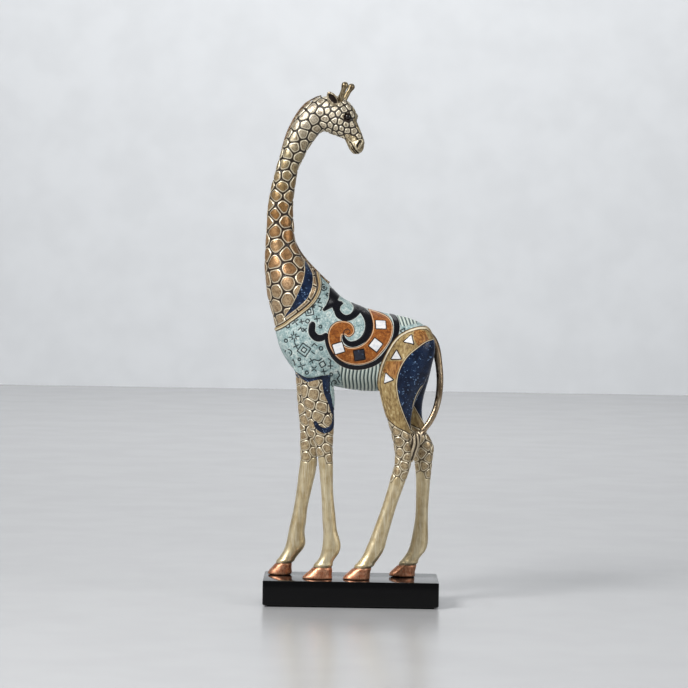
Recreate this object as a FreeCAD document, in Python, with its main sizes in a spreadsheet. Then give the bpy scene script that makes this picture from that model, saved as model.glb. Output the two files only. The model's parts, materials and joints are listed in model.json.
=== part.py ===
"""A cast and painted giraffe statuette on a gloss-black plinth, head turned back over its shoulder.

The figure is 461 mm tall. It faces -X, +Z is up, and the origin is the centre of the felt under the plinth,
so +Y is the giraffe's right side. It comes apart as: plinth with felt, four castings for the legs, each on
a bent steel rod that is bolted under the plinth, a torso that the leg tops plug into, a neck and a head on
steel dowels, a mane strip, ears, horns, eyes and a tail that are glued on, and pearl chips let into the body.
"""
import FreeCAD, Part
import math
import os

import Sketcher

Vector = FreeCAD.Vector

DIMENSIONS = [
    # alias, value, what it is
    ("grow", 1.0, "figure size against its nominal size"),
    ("plinth_length", 155.0, "along X"),
    ("plinth_depth", 70.0, "along Y"),
    ("plinth_top", 23.0, "height of the standing face above the table"),
    ("felt_thick", 1.2, "self-adhesive felt"),
    ("felt_margin", 4.0, "bare rim around the felt"),
    ("plinth_round", 3.0, "lower edge rounding"),
    ("plinth_corner", 1.6, "upright edge rounding"),
    ("rod_diameter", 3.0, "steel rod in each leg"),
    ("rod_hole", 3.3, "hole for the rod in the plinth"),
    ("well_diameter", 10.0, "recess for nut and washer"),
    ("well_depth", 7.0, "from the plinth's underside"),
    ("washer_diameter", 9.0, "outside"),
    ("washer_thick", 0.8, "washer"),
    ("nut_flats", 5.5, "across the flats of an M3 nut"),
    ("nut_thick", 2.4, "M3 nut"),
    ("leg_y", 14.0, "leg centre planes, each side of the middle"),
    ("seam_x", -69.9, "axis of the round seam between neck and torso"),
    ("seam_z", 284.0, "axis of the same seam"),
    ("seam_radius", 38.2, "the same seam"),
    ("dowel_diameter", 4.0, "steel dowels at the neck's two ends"),
    ("head_yaw", -20.0, "head turned towards the left flank, degrees about +Z"),
    ("head_tilt", -2.0, "head leaned over, degrees about its own +X"),
    ("eye_diameter", 5.6, "glass eye"),
    ("chip_side", 8.4, "square pearl chips"),
    ("chip_thick", 1.4, "pearl chips"),
    ("chip_proud", 0.5, "how far a chip stands above the skin"),
    ("triangle_side", 8.6, "triangular pearl chips"),
]

doc = FreeCAD.newDocument("giraffe")
sheet = doc.addObject("Spreadsheet::Sheet", "dims")
for row, (alias, value, meaning) in enumerate(DIMENSIONS, start=1):
    sheet.set(f"A{row}", meaning)
    sheet.set(f"B{row}", str(value))
    sheet.setAlias(f"B{row}", alias)
doc.recompute()


def dim(alias):
    """A driving dimension's value."""
    return float(sheet.get(alias))


ROUNDEST = 0.94


# ---------------------------------------------------------------- helpers


def body_called(name):
    body = doc.addObject("PartDesign::Body", name)
    body.Label = name
    return body


def origin_plane(body, role):
    return next(f for f in body.Origin.OriginFeatures if f.Role == role)


def sketch_in(body, name, role="XY_Plane", offset=None):
    """A sketch on one of the body's own origin planes, moved by offset."""
    sketch = body.newObject("Sketcher::SketchObject", name)
    sketch.AttachmentSupport = [(origin_plane(body, role), "")]
    sketch.MapMode = "FlatFace"
    if offset is not None:
        sketch.AttachmentOffset = offset
    return sketch


def bind_length(sketch, geometry, name, millimetres):
    """Names a length constraint on a line of the sketch and ties it to the figure's size."""
    index = sketch.addConstraint(Sketcher.Constraint("Distance", geometry, millimetres))
    sketch.renameConstraint(index, name)
    sketch.setExpression(f"Constraints.{name}", f"dims.grow * {millimetres:.3f} mm")


def ellipse_section(body, name, first, last, half_depth):
    """An ellipse whose long axis runs from first to last, and whose short one lies along Y."""
    along = last - first
    half = along.Length / 2
    along.normalize()
    across = Vector(0, 1, 0)
    centre = (first + last) / 2
    turn = FreeCAD.Rotation(along, across, along.cross(across), "ZXY")
    sketch = sketch_in(body, name, offset=FreeCAD.Placement(centre, turn))
    for axis, value in zip("xyz", centre):
        sketch.setExpression(f".AttachmentOffset.Base.{axis}", f"dims.grow * {value:.3f} mm")
    shape = Part.Ellipse(Vector(half, 0, 0), Vector(0, half_depth, 0), Vector(0, 0, 0))
    sketch.addGeometry(shape, False)
    sketch.exposeInternalGeometry(0)
    sketch.addConstraint(Sketcher.Constraint("Coincident", 0, 3, -1, 1))
    sketch.addConstraint(Sketcher.Constraint("PointOnObject", 1, 1, -1))
    bind_length(sketch, 1, "length", 2 * half)
    bind_length(sketch, 2, "depth", 2 * half_depth)
    return sketch


def loft_through(body, sketches, name):
    loft = body.newObject("PartDesign::AdditiveLoft", name)
    loft.Profile = sketches[0]
    loft.Sections = sketches[1:]
    return loft


def lofted(name, stations, splits=()):
    """A body lofted through ellipses. stations are (first, last, half depth); it restarts at each split."""
    body = body_called(name)
    sketches = [
        ellipse_section(body, f"{name}_section_{i}", *station)
        for i, station in enumerate(stations)
    ]
    ends = [0, *splits, len(sketches) - 1]
    for i, (start, stop) in enumerate(zip(ends, ends[1:])):
        loft_through(body, sketches[start : stop + 1], f"{name}_loft_{i}")
    return body


def upright(y, rows):
    """Stations from level ellipses: each row is (height, front x, rear x, half depth).

    The fore-and-aft axis stays the longer one all the way down, because a section whose long axis swaps over
    would twist the loft by a quarter turn.
    """
    return [(Vector(a, y, z), Vector(b, y, z), min(depth, ROUNDEST * (b - a) / 2)) for z, a, b, depth in rows]


def in_profile(rows):
    """Stations from ellipses seen edge-on: each row is (first x, first z, last x, last z, half depth)."""
    return [(Vector(a, 0, c), Vector(b, 0, d), depth) for a, c, b, d, depth in rows]


def boolean(kind, name, base, tool):
    made = doc.addObject(f"Part::{kind}", name)
    made.Base, made.Tool = base, tool
    made.Label = name
    return made


def fuse_all(name, members):
    made = doc.addObject("Part::MultiFuse", name)
    made.Shapes = members
    return made


def group_of(name, members):
    """Several separate solids that share one node."""
    made = doc.addObject("Part::Compound", name)
    made.Links = members
    made.Label = name
    return made


# ---------------------------------------------------------------- figure: torso, neck and head

# Each row is (x, belly z, back z, half width): upright sections from the chest to the rump.
TORSO = [
    (-68, 232, 252, 9),
    (-65, 224, 262, 16),
    (-58, 213, 272, 22),
    (-46, 203, 280, 26.5),
    (-30, 196.5, 281, 28.5),
    (-12, 192, 272, 29),
    (8, 189.5, 263.5, 29),
    (28, 190, 258.5, 28.5),
    (45, 195, 255.5, 26.5),
    (58, 203.5, 250.5, 22),
    (66, 213, 244, 15),
    (70, 221, 237, 7.5),
]

# Neck sections from inside the withers to behind the ears: throat side first, nape side last at the foot.
NECK = [
    (-64, 228, -17, 240, 18),
    (-70.3, 243, -12, 254, 22.5),
    (-73, 256, -8, 266, 24),
    (-77.5, 272, -15, 275, 25),
    (-79.5, 287, -27, 287, 22.5),
    (-80.5, 300, -40.5, 299.5, 18),
    (-80.3, 313, -51, 313, 14),
    (-79.5, 328, -55, 328, 12),
    (-79, 345, -56.3, 345, 11.2),
    (-77, 362, -55.7, 362.5, 10.5),
    (-73, 380, -53, 381.5, 9.8),
    (-68.5, 396.5, -48.5, 392, 9.6),
    (-63, 412.5, -44.2, 402, 9.7),
    (-55.8, 428.2, -40, 408.5, 10),
    (-46, 441.5, -35, 415.2, 10.5),
    (-33, 448.8, -29, 418.8, 11),
]
NECK_SPLIT = 11

# Head sections from the poll to the lips, forehead first and jaw last, before the head is turned.
HEAD = [
    (-33, 448.8, -29, 418.8, 11),
    (-21, 450, -24.5, 416.8, 11.2),
    (-13, 448, -19, 415, 10.9),
    (-6, 443, -14.5, 413.5, 10.3),
    (-0.8, 436.5, -10.8, 411.8, 9.2),
    (0.4, 428, -8.8, 409.8, 7.4),
    (3.8, 420.8, -7.4, 407.5, 6.0),
    (6.8, 414, -6.2, 405.2, 5.5),
    (8.1, 408, -4.2, 402.6, 5.7),
    (7.2, 403.6, -1.2, 400, 4.3),
    (5, 401, 1.5, 399.2, 1.6),
]
HEAD_SPLIT = 5
HEAD_PIVOT = Vector(-30.5, 0, 433.8)


def shoulder(name, side):
    """The round shoulder that overhangs a foreleg's top."""
    rows = [
        (262, -52, -26, 12, 8),
        (250, -60, -22, 13.5, 12.5),
        (236, -62, -20, 14.5, 14),
        (222, -59, -19.5, 15, 13.8),
        (212, -54.5, -19, 15, 12.8),
        (205, -51.5, -19, 14.8, 11.8),
        (202, -49.5, -20.5, 14.6, 10.8),
    ]
    return lofted(name, [(Vector(a, side * y, z), Vector(b, side * y, z), d) for z, a, b, y, d in rows])


HAUNCH_LEFT = [
    (248, 48, 63, 11, 7),
    (240, 40, 69, 13, 12),
    (228, 30, 71.5, 14.5, 14),
    (213, 22.5, 68.5, 15.5, 14),
    (197, 21.5, 62.5, 16, 13),
    (184, 24, 56, 15.8, 11),
    (173, 27, 52.3, 15.2, 9.5),
    (163, 30.5, 51, 14.6, 8.6),
    (156, 32.8, 50.6, 14.2, 8.2),
]
HAUNCH_RIGHT = [
    (248, 48, 63, 11, 7),
    (240, 42, 70, 13, 12),
    (228, 34, 72, 14.5, 14),
    (213, 29, 70, 15.5, 14),
    (197, 31, 66.5, 16, 13),
    (184, 36, 63, 15.8, 11),
    (173, 41, 61.5, 15.2, 9.5),
    (163, 45.5, 62.5, 14.6, 8.3),
    (156, 48.5, 65, 14.2, 8.2),
]


def haunch(name, side, rows):
    """A thigh, from the rump down to the stifle that the hind leg plugs into."""
    return lofted(name, [(Vector(a, side * y, z), Vector(b, side * y, z), d) for z, a, b, y, d in rows])


torso_loft = lofted(
    "torso_loft",
    [(Vector(x, 0, low), Vector(x, 0, high), half) for x, low, high, half in TORSO],
)
neck_loft = lofted("neck_loft", in_profile(NECK), [NECK_SPLIT])
blank = fuse_all(
    "blank",
    [
        torso_loft,
        neck_loft,
        shoulder("shoulder_left", -1),
        shoulder("shoulder_right", 1),
        haunch("haunch_left", -1, HAUNCH_LEFT),
        haunch("haunch_right", 1, HAUNCH_RIGHT),
    ],
)

# The seam under the collar: a drum across the chest, and everything above the withers.
SEAM_SPAN = 120
drum = doc.addObject("Part::Cylinder", "seam_drum")
drum.setExpression("Radius", "dims.seam_radius * 1 mm * dims.grow")
drum.Height = SEAM_SPAN
drum.Placement = FreeCAD.Placement(
    Vector(dim("seam_x"), SEAM_SPAN / 2, dim("seam_z")), FreeCAD.Rotation(Vector(1, 0, 0), 90)
)
above = doc.addObject("Part::Box", "above_withers")
above.Length, above.Width, above.Height = 110, SEAM_SPAN, 170
above.Placement.Base = Vector(-125, -SEAM_SPAN / 2, 297)
neck_side = boolean("Fuse", "neck_side", drum, above)
neck_blank = boolean("Common", "neck_blank", blank, neck_side)
torso_blank = boolean("Cut", "torso_blank", blank, neck_side)


# ---------------------------------------------------------------- legs and the rods inside them

# Each leg has its side, where its loft restarts, and rows of (height, front x, rear x, half depth)
# from the top of the tenon to the hoof's sole.
LEGS = {
    "foreleg_left": (-1, [], [
        (226, -49, -21, 9),
        (214, -49, -19.5, 9.3),
        (202, -48, -19, 9.5),
        (181, -45, -17, 9),
        (164, -40.5, -17.2, 8),
        (145, -35, -17.8, 7),
        (135, -32, -17.9, 6.6),
        (124, -29.9, -17.3, 6.2),
        (108, -28.2, -17.1, 5.5),
        (92, -26.8, -16.0, 5.3),
        (76, -26, -14.1, 5.5),
        (61, -25, -11.3, 6),
        (52, -25.6, -9.4, 6.3),
        (45, -26.9, -11.5, 6.3),
        (39.3, -29.7, -15.4, 6.4),
        (34, -33.5, -16.6, 6.9),
        (28.5, -38, -16.6, 7.7),
        (23, -42, -15.8, 8.5),
    ]),
    "foreleg_right": (1, [5], [
        (226, -53, -24, 9),
        (214, -53, -24.5, 9.3),
        (202, -52, -25, 9.5),
        (181, -50, -26, 9),
        (164, -48.3, -28, 8),
        (145, -46.8, -31.3, 7),
        (133, -46.6, -31.9, 6.6),
        (121.5, -47.1, -31.9, 6.3),
        (111, -48.4, -33.6, 5.8),
        (100, -49.5, -36.1, 5.5),
        (89.5, -50.9, -38.4, 5.3),
        (78.5, -52.7, -40.1, 5.4),
        (68, -55, -41, 5.8),
        (57, -57, -41.4, 6.2),
        (50, -58.4, -41.2, 6.4),
        (45, -60.2, -43.8, 6.4),
        (40.5, -62.8, -47.4, 6.5),
        (35.4, -66.2, -51.2, 6.9),
        (29.5, -70.2, -53, 7.7),
        (23, -73, -53.4, 8.5),
    ]),
    "hindleg_left": (-1, [6, 12], [
        (182, 27.5, 52.5, 8.2),
        (170, 29.5, 50.5, 7.8),
        (160, 32, 50.2, 7.6),
        (151, 34.3, 51, 7.4),
        (141.5, 36.3, 51.3, 7.2),
        (131, 37.4, 51.5, 7),
        (120, 35.8, 50, 6.7),
        (109.5, 32.8, 46.5, 6.3),
        (98.8, 29.9, 42.8, 5.9),
        (88, 26.6, 39.2, 5.6),
        (77.4, 23.0, 36.2, 5.6),
        (66.7, 19.2, 33.3, 5.8),
        (56, 15.4, 30.6, 6.2),
        (49, 12.4, 28.6, 6.4),
        (43.5, 9.8, 25.6, 6.5),
        (39, 6.6, 22.4, 6.7),
        (34, 2.4, 18.9, 7.2),
        (28.5, -2.6, 17.0, 7.9),
        (23, -6.3, 17, 8.6),
    ]),
    "hindleg_right": (1, [5], [
        (182, 37.5, 61.5, 8.2),
        (171, 42, 61.2, 7.8),
        (161, 46.3, 62.5, 7.6),
        (152, 50, 66, 7.4),
        (145, 52.6, 70, 7.3),
        (139.5, 53.9, 72.1, 7.2),
        (132, 54.4, 71.8, 7),
        (124, 55.6, 70.9, 6.8),
        (116, 56.6, 70.2, 6.5),
        (106, 57, 69.5, 6.1),
        (96, 57.2, 68.9, 5.7),
        (86, 57.2, 68.3, 5.5),
        (75, 56.7, 68.3, 5.6),
        (64, 55.1, 68.5, 5.9),
        (53.5, 53.2, 68.5, 6.3),
        (47, 51.3, 66.8, 6.4),
        (42, 48.6, 63.2, 6.5),
        (37, 45, 60, 6.9),
        (30.5, 39.6, 58.2, 7.6),
        (23, 35.6, 57.8, 8.6),
    ]),
}

# The rods' corners as (x, z), from the nut up into the torso; each leg's rod lies in the leg's own plane.
ROD_FOOT = 2.5
RODS = {
    "foreleg_left": [(-22, ROD_FOOT), (-22, 40), (-20, 72), (-23.5, 124), (-34, 206), (-36, 240)],
    "foreleg_right": [(-58, ROD_FOOT), (-57, 38), (-47.5, 68), (-39.5, 132), (-38.5, 200), (-38, 240)],
    "hindleg_left": [(12, ROD_FOOT), (12.5, 36), (24.5, 60), (43, 128), (41, 168), (43, 214)],
    "hindleg_right": [(51, ROD_FOOT), (52, 36), (61, 58), (63.5, 128), (53, 172), (51, 214)],
}
BEND_RADIUS = 14


def leg_blank(name):
    side, splits, rows = LEGS[name]
    return lofted(f"{name}_blank", upright(side * dim("leg_y"), rows), splits)


def bent_path(sketch, corners):
    """Draws straight runs joined by tangent arcs through the corners."""
    points = [Vector(x, z, 0) for x, z in corners]
    start = points[0]
    for before, corner, after in zip(points, points[1:], points[2:]):
        into = (corner - before).normalize()
        out = (after - corner).normalize()
        turn = into.getAngle(out)
        setback = BEND_RADIUS * math.tan(turn / 2)
        arc_start, arc_end = corner - into * setback, corner + out * setback
        inward = (out - into).normalize()
        centre = corner + inward * (BEND_RADIUS / math.cos(turn / 2))
        middle = centre - inward * BEND_RADIUS
        sketch.addGeometry(Part.LineSegment(start, arc_start), False)
        sketch.addGeometry(Part.Arc(arc_start, middle, arc_end), False)
        start = arc_end
    sketch.addGeometry(Part.LineSegment(start, points[-1]), False)


def leg_rod(name):
    """A bent steel rod: it is cast into the leg, bolted under the plinth and glued into the torso."""
    y = LEGS[name][0] * dim("leg_y")
    rod = body_called(f"{name}_rod")
    x, z = RODS[name][0]
    ring = sketch_in(rod, f"{name}_rod_ring", offset=FreeCAD.Placement(Vector(x, y, z), FreeCAD.Rotation()))
    ring.addGeometry(Part.Circle(Vector(0, 0, 0), Vector(0, 0, 1), dim("rod_diameter") / 2), False)
    ring.addConstraint(Sketcher.Constraint("Coincident", 0, 3, -1, 1))
    index = ring.addConstraint(Sketcher.Constraint("Diameter", 0, dim("rod_diameter")))
    ring.renameConstraint(index, "diameter")
    ring.setExpression("Constraints.diameter", "dims.rod_diameter * 1 mm")
    path = sketch_in(
        rod, f"{name}_rod_path", "XZ_Plane", FreeCAD.Placement(Vector(0, 0, -y), FreeCAD.Rotation())
    )
    bent_path(path, RODS[name])
    pipe = rod.newObject("PartDesign::AdditivePipe", f"{name}_rod_pipe")
    pipe.Profile = ring
    pipe.Spine = (path, [f"Edge{i + 1}" for i in range(path.GeometryCount)])
    return rod


leg_blanks = {name: leg_blank(name) for name in LEGS}
rods = {name: leg_rod(name) for name in LEGS}
doc.recompute()


# ---------------------------------------------------------------- plinth, felt and fixings


def rectangle(sketch, length, depth, length_source, depth_source):
    """A centred rectangle tied to two expressions."""
    corners = [
        Vector(sx * length / 2, sy * depth / 2, 0) for sx, sy in ((-1, -1), (1, -1), (1, 1), (-1, 1))
    ]
    for a, b in zip(corners, corners[1:] + corners[:1]):
        sketch.addGeometry(Part.LineSegment(a, b), False)
    for i in range(4):
        sketch.addConstraint(Sketcher.Constraint("Coincident", i, 2, (i + 1) % 4, 1))
    for i, kind in enumerate(("Horizontal", "Vertical", "Horizontal", "Vertical")):
        sketch.addConstraint(Sketcher.Constraint(kind, i))
    sketch.addConstraint(Sketcher.Constraint("Symmetric", 0, 1, 2, 1, -1, 1))
    for line, name, value, source in ((0, "long", length, length_source), (1, "deep", depth, depth_source)):
        index = sketch.addConstraint(Sketcher.Constraint("Distance", line, value))
        sketch.renameConstraint(index, name)
        sketch.setExpression(f"Constraints.{name}", source)


def rod_positions():
    return [(RODS[name][0][0], LEGS[name][0] * dim("leg_y")) for name in LEGS]


def holes_sketch(body, name, alias):
    """One circle at each rod, on the plinth's underside."""
    sketch = sketch_in(body, name)
    sketch.setExpression(".AttachmentOffset.Base.z", "dims.felt_thick * 1 mm")
    for i, (x, y) in enumerate(rod_positions()):
        sketch.addGeometry(Part.Circle(Vector(x, y, 0), Vector(0, 0, 1), dim(alias) / 2), False)
        sketch.addConstraint(Sketcher.Constraint("DistanceX", -1, 1, i, 3, x))
        sketch.addConstraint(Sketcher.Constraint("DistanceY", -1, 1, i, 3, y))
        index = sketch.addConstraint(Sketcher.Constraint("Diameter", i, dim(alias)))
        sketch.renameConstraint(index, f"bore_{i}")
        sketch.setExpression(f"Constraints.bore_{i}", f"dims.{alias} * 1 mm")
    return sketch


def edges_where(shape, test):
    """Edge names whose both ends, or whose middle on a closed edge, satisfy the test."""
    return [f"Edge{i + 1}" for i, edge in enumerate(shape.Edges) if test(edge)]


def make_plinth():
    body = body_called("plinth")
    outline = sketch_in(body, "plinth_outline")
    outline.setExpression(".AttachmentOffset.Base.z", "dims.felt_thick * 1 mm")
    rectangle(
        outline,
        dim("plinth_length"),
        dim("plinth_depth"),
        "dims.plinth_length * 1 mm",
        "dims.plinth_depth * 1 mm",
    )
    pad = body.newObject("PartDesign::Pad", "plinth_block")
    pad.Profile = outline
    pad.setExpression("Length", "(dims.plinth_top - dims.felt_thick) * 1 mm")
    doc.recompute()

    def is_upright(edge):
        return abs(edge.BoundBox.ZLength) > 1

    def is_lower(edge):
        return edge.BoundBox.ZMax < dim("felt_thick") + 1e-3

    corner = body.newObject("PartDesign::Fillet", "plinth_corners")
    corner.Base = (pad, edges_where(pad.Shape, is_upright))
    corner.setExpression("Radius", "dims.plinth_corner * 1 mm")
    doc.recompute()
    lower = body.newObject("PartDesign::Fillet", "plinth_lower_round")
    lower.Base = (corner, edges_where(corner.Shape, is_lower))
    lower.setExpression("Radius", "dims.plinth_round * 1 mm")
    doc.recompute()
    wells = ("nut_wells", "well_diameter", "dims.well_depth * 1 mm")
    for name, alias, depth in (("rod_holes", "rod_hole", None), wells):
        pocket = body.newObject("PartDesign::Pocket", name)
        pocket.Profile = holes_sketch(body, f"{name}_sketch", alias)
        pocket.Reversed = True
        if depth is None:
            pocket.Type = "ThroughAll"
        else:
            pocket.setExpression("Length", depth)
    return body


def make_felt():
    body = body_called("felt_sheet")
    outline = sketch_in(body, "felt_outline")
    rectangle(
        outline,
        dim("plinth_length") - 2 * dim("felt_margin"),
        dim("plinth_depth") - 2 * dim("felt_margin"),
        "(dims.plinth_length - 2 * dims.felt_margin) * 1 mm",
        "(dims.plinth_depth - 2 * dims.felt_margin) * 1 mm",
    )
    pad = body.newObject("PartDesign::Pad", "felt_pad")
    pad.Profile = outline
    pad.setExpression("Length", "dims.felt_thick * 1 mm")
    return body


def fixing(name, prism, thick_source, z_source, i, x, y):
    """One nut or washer: a prism or cylinder with the rod's bore."""
    blank_solid = doc.addObject("Part::Prism" if prism else "Part::Cylinder", f"{name}_{i}_blank")
    if prism:
        blank_solid.Polygon = 6
        blank_solid.setExpression("Circumradius", "dims.nut_flats / sqrt(3) * 1 mm")
    else:
        blank_solid.setExpression("Radius", "dims.washer_diameter / 2 * 1 mm")
    bore = doc.addObject("Part::Cylinder", f"{name}_{i}_bore")
    bore.setExpression("Radius", "(dims.rod_diameter / 2 + 0.03) * 1 mm")
    for solid in (blank_solid, bore):
        solid.setExpression("Height", thick_source)
        solid.Placement.Base = Vector(x, y, 0)
        solid.setExpression(".Placement.Base.z", z_source)
    return boolean("Cut", f"{name}_{i}", blank_solid, bore)


make_plinth()
make_felt()
WASHER_Z = "(dims.felt_thick + dims.well_depth - dims.washer_thick) * 1 mm"
NUT_Z = "(dims.felt_thick + dims.well_depth - dims.washer_thick - dims.nut_thick) * 1 mm"
for label, kind, six_sided, thick, level in (
    ("rod_washers", "washer", False, "dims.washer_thick * 1 mm", WASHER_Z),
    ("rod_nuts", "nut", True, "dims.nut_thick * 1 mm", NUT_Z),
):
    spots = enumerate(rod_positions())
    group_of(label, [fixing(kind, six_sided, thick, level, i, *spot) for i, spot in spots])


# ---------------------------------------------------------------- dowels, tail and mane


def dowel(name, middle, direction, length):
    """A plain steel pin across a seam."""
    pin = doc.addObject("Part::Cylinder", name)
    pin.Label = name
    pin.setExpression("Radius", "dims.dowel_diameter / 2 * 1 mm")
    pin.Height = length
    turn = FreeCAD.Rotation(Vector(0, 0, 1), direction)
    pin.Placement = FreeCAD.Placement(middle - direction * (length / 2), turn)
    return pin


neck_dowel = dowel("neck_dowel", Vector(-42, 0, 262), Vector(-0.62, 0, 0.78).normalize(), 36)
head_dowel = dowel("head_dowel", HEAD_PIVOT + Vector(0, 0, -1), Vector(1, 0, 0.05).normalize(), 18)

# Tail sections as (x, y, z of the middle, direction of travel in XZ degrees, radius).
TAIL = [
    (62, 0, 238, -5, 4.6),
    (68.5, -0.2, 235.5, -38, 4.4),
    (72.2, -0.6, 228, -70, 3.8),
    (74.8, -1.2, 216, -80, 3.3),
    (76.2, -2.0, 203, -89, 3.1),
    (75.8, -3.2, 189, -96, 3.0),
    (73.6, -4.8, 177, -106, 2.9),
    (69.2, -6.8, 165.8, -119, 2.8),
    (63.0, -8.8, 157, -132, 2.7),
    (57.5, -10.3, 151.8, -140, 2.7),
]
TUFT = [
    (59.5, -10, 153.2, -138, 2.2),
    (56.4, -10.6, 150.4, -128, 3.5),
    (53.6, -11, 145.5, -108, 4.6),
    (52.3, -11.2, 139, -98, 5.0),
    (51.6, -11.3, 132, -96, 4.4),
    (51.0, -11.3, 126, -95, 2.9),
    (50.6, -11.3, 121.5, -95, 1.0),
]
TAIL_FLAT = 0.94


def along_curve(name, rows):
    """A body lofted through near-round sections that face along the direction of travel."""
    stations = []
    for x, y, z, degrees, radius in rows:
        travel = math.radians(degrees)
        across = Vector(math.sin(travel), 0, -math.cos(travel)) * radius
        centre = Vector(x, y, z)
        stations.append((centre + across, centre - across, radius * TAIL_FLAT))
    return lofted(name, stations)


tail_whole = fuse_all("tail_whole", [along_curve("tail_curve", TAIL), along_curve("tail_tuft", TUFT)])
tail = boolean("Cut", "tail", tail_whole, leg_blanks["hindleg_left"])

# The mane turns from the nape at the withers, round the right side, to the crest behind the ears.
# Each row is (neck axis x, z, slope of the section in degrees, neck radii along the section and along Y,
# angle of the mane round the neck from the nape, in degrees).
MANE = [
    (-32.4, 275.5, 46, 11, 16, 0),
    (-43.3, 285.2, 44, 11, 16, 4),
    (-50.5, 291.2, 40, 12, 15, 12),
    (-65.6, 312, 8, 14.4, 14, 28),
    (-67.2, 328, 0, 12.2, 12, 48),
    (-67.6, 345, 0, 11.3, 11.2, 70),
    (-66.3, 362, 1.5, 10.6, 10.5, 94),
    (-63, 380.7, 4, 10, 9.8, 118),
    (-58.5, 394.2, -12, 10.2, 9.6, 140),
    (-53.6, 407.2, -29, 10.8, 9.7, 158),
    (-47.9, 418.3, -51, 12.6, 10, 170),
    (-40.5, 428.3, -67, 14.2, 10.5, 177),
    (-31.5, 433.9, -87, 15, 11, 180),
]
# The strip's own section, as (out of the neck, across): a root inside the neck and a narrower, blunt crest.
MANE_SECTION = [(-2.6, -1.9), (2.2, -1.5), (2.2, 1.5), (-2.6, 1.9)]


def closed_outline(sketch, corners):
    """Straight lines through the corners, joined at their ends."""
    for a, b in zip(corners, corners[1:] + corners[:1]):
        sketch.addGeometry(Part.LineSegment(a, b), False)
    count = len(corners)
    for i in range(count):
        sketch.addConstraint(Sketcher.Constraint("Coincident", i, 2, (i + 1) % count, 1))


def mane_section(body, i, row):
    """The strip's section on the neck's skin, facing along the neck, its root towards the neck's axis."""
    x, z, slope, radius, radius_y, angle = row
    tilt, turn = math.radians(slope), math.radians(angle)
    nape = Vector(math.cos(tilt), 0, math.sin(tilt))
    side = Vector(0, 1, 0)
    skin = Vector(x, 0, z) + nape * (radius * math.cos(turn)) + side * (radius_y * math.sin(turn))
    normal = (nape * (math.cos(turn) / radius) + side * (math.sin(turn) / radius_y)).normalize()
    across = nape.cross(side).cross(normal).normalize()
    facing = FreeCAD.Rotation(normal, across, normal.cross(across), "ZXY")
    sketch = sketch_in(body, f"mane_section_{i}", offset=FreeCAD.Placement(skin, facing))
    closed_outline(sketch, [Vector(out, wide, 0) for out, wide in MANE_SECTION])
    return sketch


def make_mane():
    body = body_called("mane_blank")
    loft_through(body, [mane_section(body, i, row) for i, row in enumerate(MANE)], "mane_loft")
    return body


mane_blank = make_mane()
mane_on_neck = boolean("Cut", "mane_on_neck", mane_blank, blank)


# ---------------------------------------------------------------- head, ears, horns and eyes


def turn_head(thing):
    """Turns a piece of the head about the neck joint, towards the left flank, and leans it."""
    turn = FreeCAD.Rotation(Vector(0, 0, 1), dim("head_yaw")).multiply(
        FreeCAD.Rotation(Vector(1, 0, 0), dim("head_tilt"))
    )
    about = FreeCAD.Placement(Vector(), turn, HEAD_PIVOT)
    thing.Placement = about.multiply(thing.Placement)
    return thing


EAR_ROOT = Vector(-16.8, 9.0, 442)
# Leaf sections as (distance from the root, half width, half thickness).
EAR = [(-2, 2.0, 1.5), (1, 3.4, 2.1), (4, 4.3, 2.6), (7, 4.2, 2.6), (10, 2.9, 1.9), (12.2, 1.0, 0.7)]
HORN_ROOT = Vector(-14.5, 3.6, 444)
HORN_TIP = Vector(-7.0, 9.2, 461)
EYE_SPOT = Vector(-5.2, 8.2, 430.8)


def ear(name, side):
    """A thick leaf that leans back and outwards, rooted inside the head."""
    root = Vector(EAR_ROOT.x, side * EAR_ROOT.y, EAR_ROOT.z)
    lean = Vector(-0.36, side * 0.42, 0.83).normalize()
    wide = Vector(0.917, 0, 0.398)
    rows = [(root + lean * t - wide * w, root + lean * t + wide * w, thick) for t, w, thick in EAR]
    return turn_head(lofted(name, rows))


def horn(name, side):
    """A tapered horn with a rounded knob, revolved about its own axis."""
    body = body_called(name)
    root = Vector(HORN_ROOT.x, side * HORN_ROOT.y, HORN_ROOT.z)
    tip = Vector(HORN_TIP.x, side * HORN_TIP.y, HORN_TIP.z)
    length = (tip - root).Length
    sketch = sketch_in(body, f"{name}_profile", "XZ_Plane")
    waist, neck_radius, knob = 2.7, 2.1, 2.9
    outline = [
        Vector(0, 0, 0),
        Vector(waist, 0, 0),
        Vector(neck_radius, length * 0.62, 0),
        Vector(knob, length * 0.80, 0),
    ]
    for a, b in zip(outline, outline[1:]):
        sketch.addGeometry(Part.LineSegment(a, b), False)
    rim = Vector(0.7, length, 0)
    crown = Vector(0, length, 0)
    sketch.addGeometry(Part.Arc(outline[-1], Vector(knob * 0.84, length * 0.94, 0), rim), False)
    sketch.addGeometry(Part.LineSegment(rim, crown), False)
    sketch.addGeometry(Part.LineSegment(crown, outline[0]), False)
    turned = body.newObject("PartDesign::Revolution", f"{name}_revolution")
    turned.Profile = sketch
    turned.ReferenceAxis = (sketch, ["V_Axis"])
    turned.Angle = 360
    body.Placement = FreeCAD.Placement(root, FreeCAD.Rotation(Vector(0, 0, 1), (tip - root).normalize()))
    return turn_head(body)


def eye(name, side):
    ball = doc.addObject("Part::Sphere", name)
    ball.Label = name
    ball.setExpression("Radius", "dims.eye_diameter / 2 * 1 mm")
    ball.Placement.Base = Vector(EYE_SPOT.x, side * (EYE_SPOT.y - 1.2), EYE_SPOT.z)
    return turn_head(ball)


head_blank = turn_head(lofted("head_blank", in_profile(HEAD), [HEAD_SPLIT]))
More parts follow.
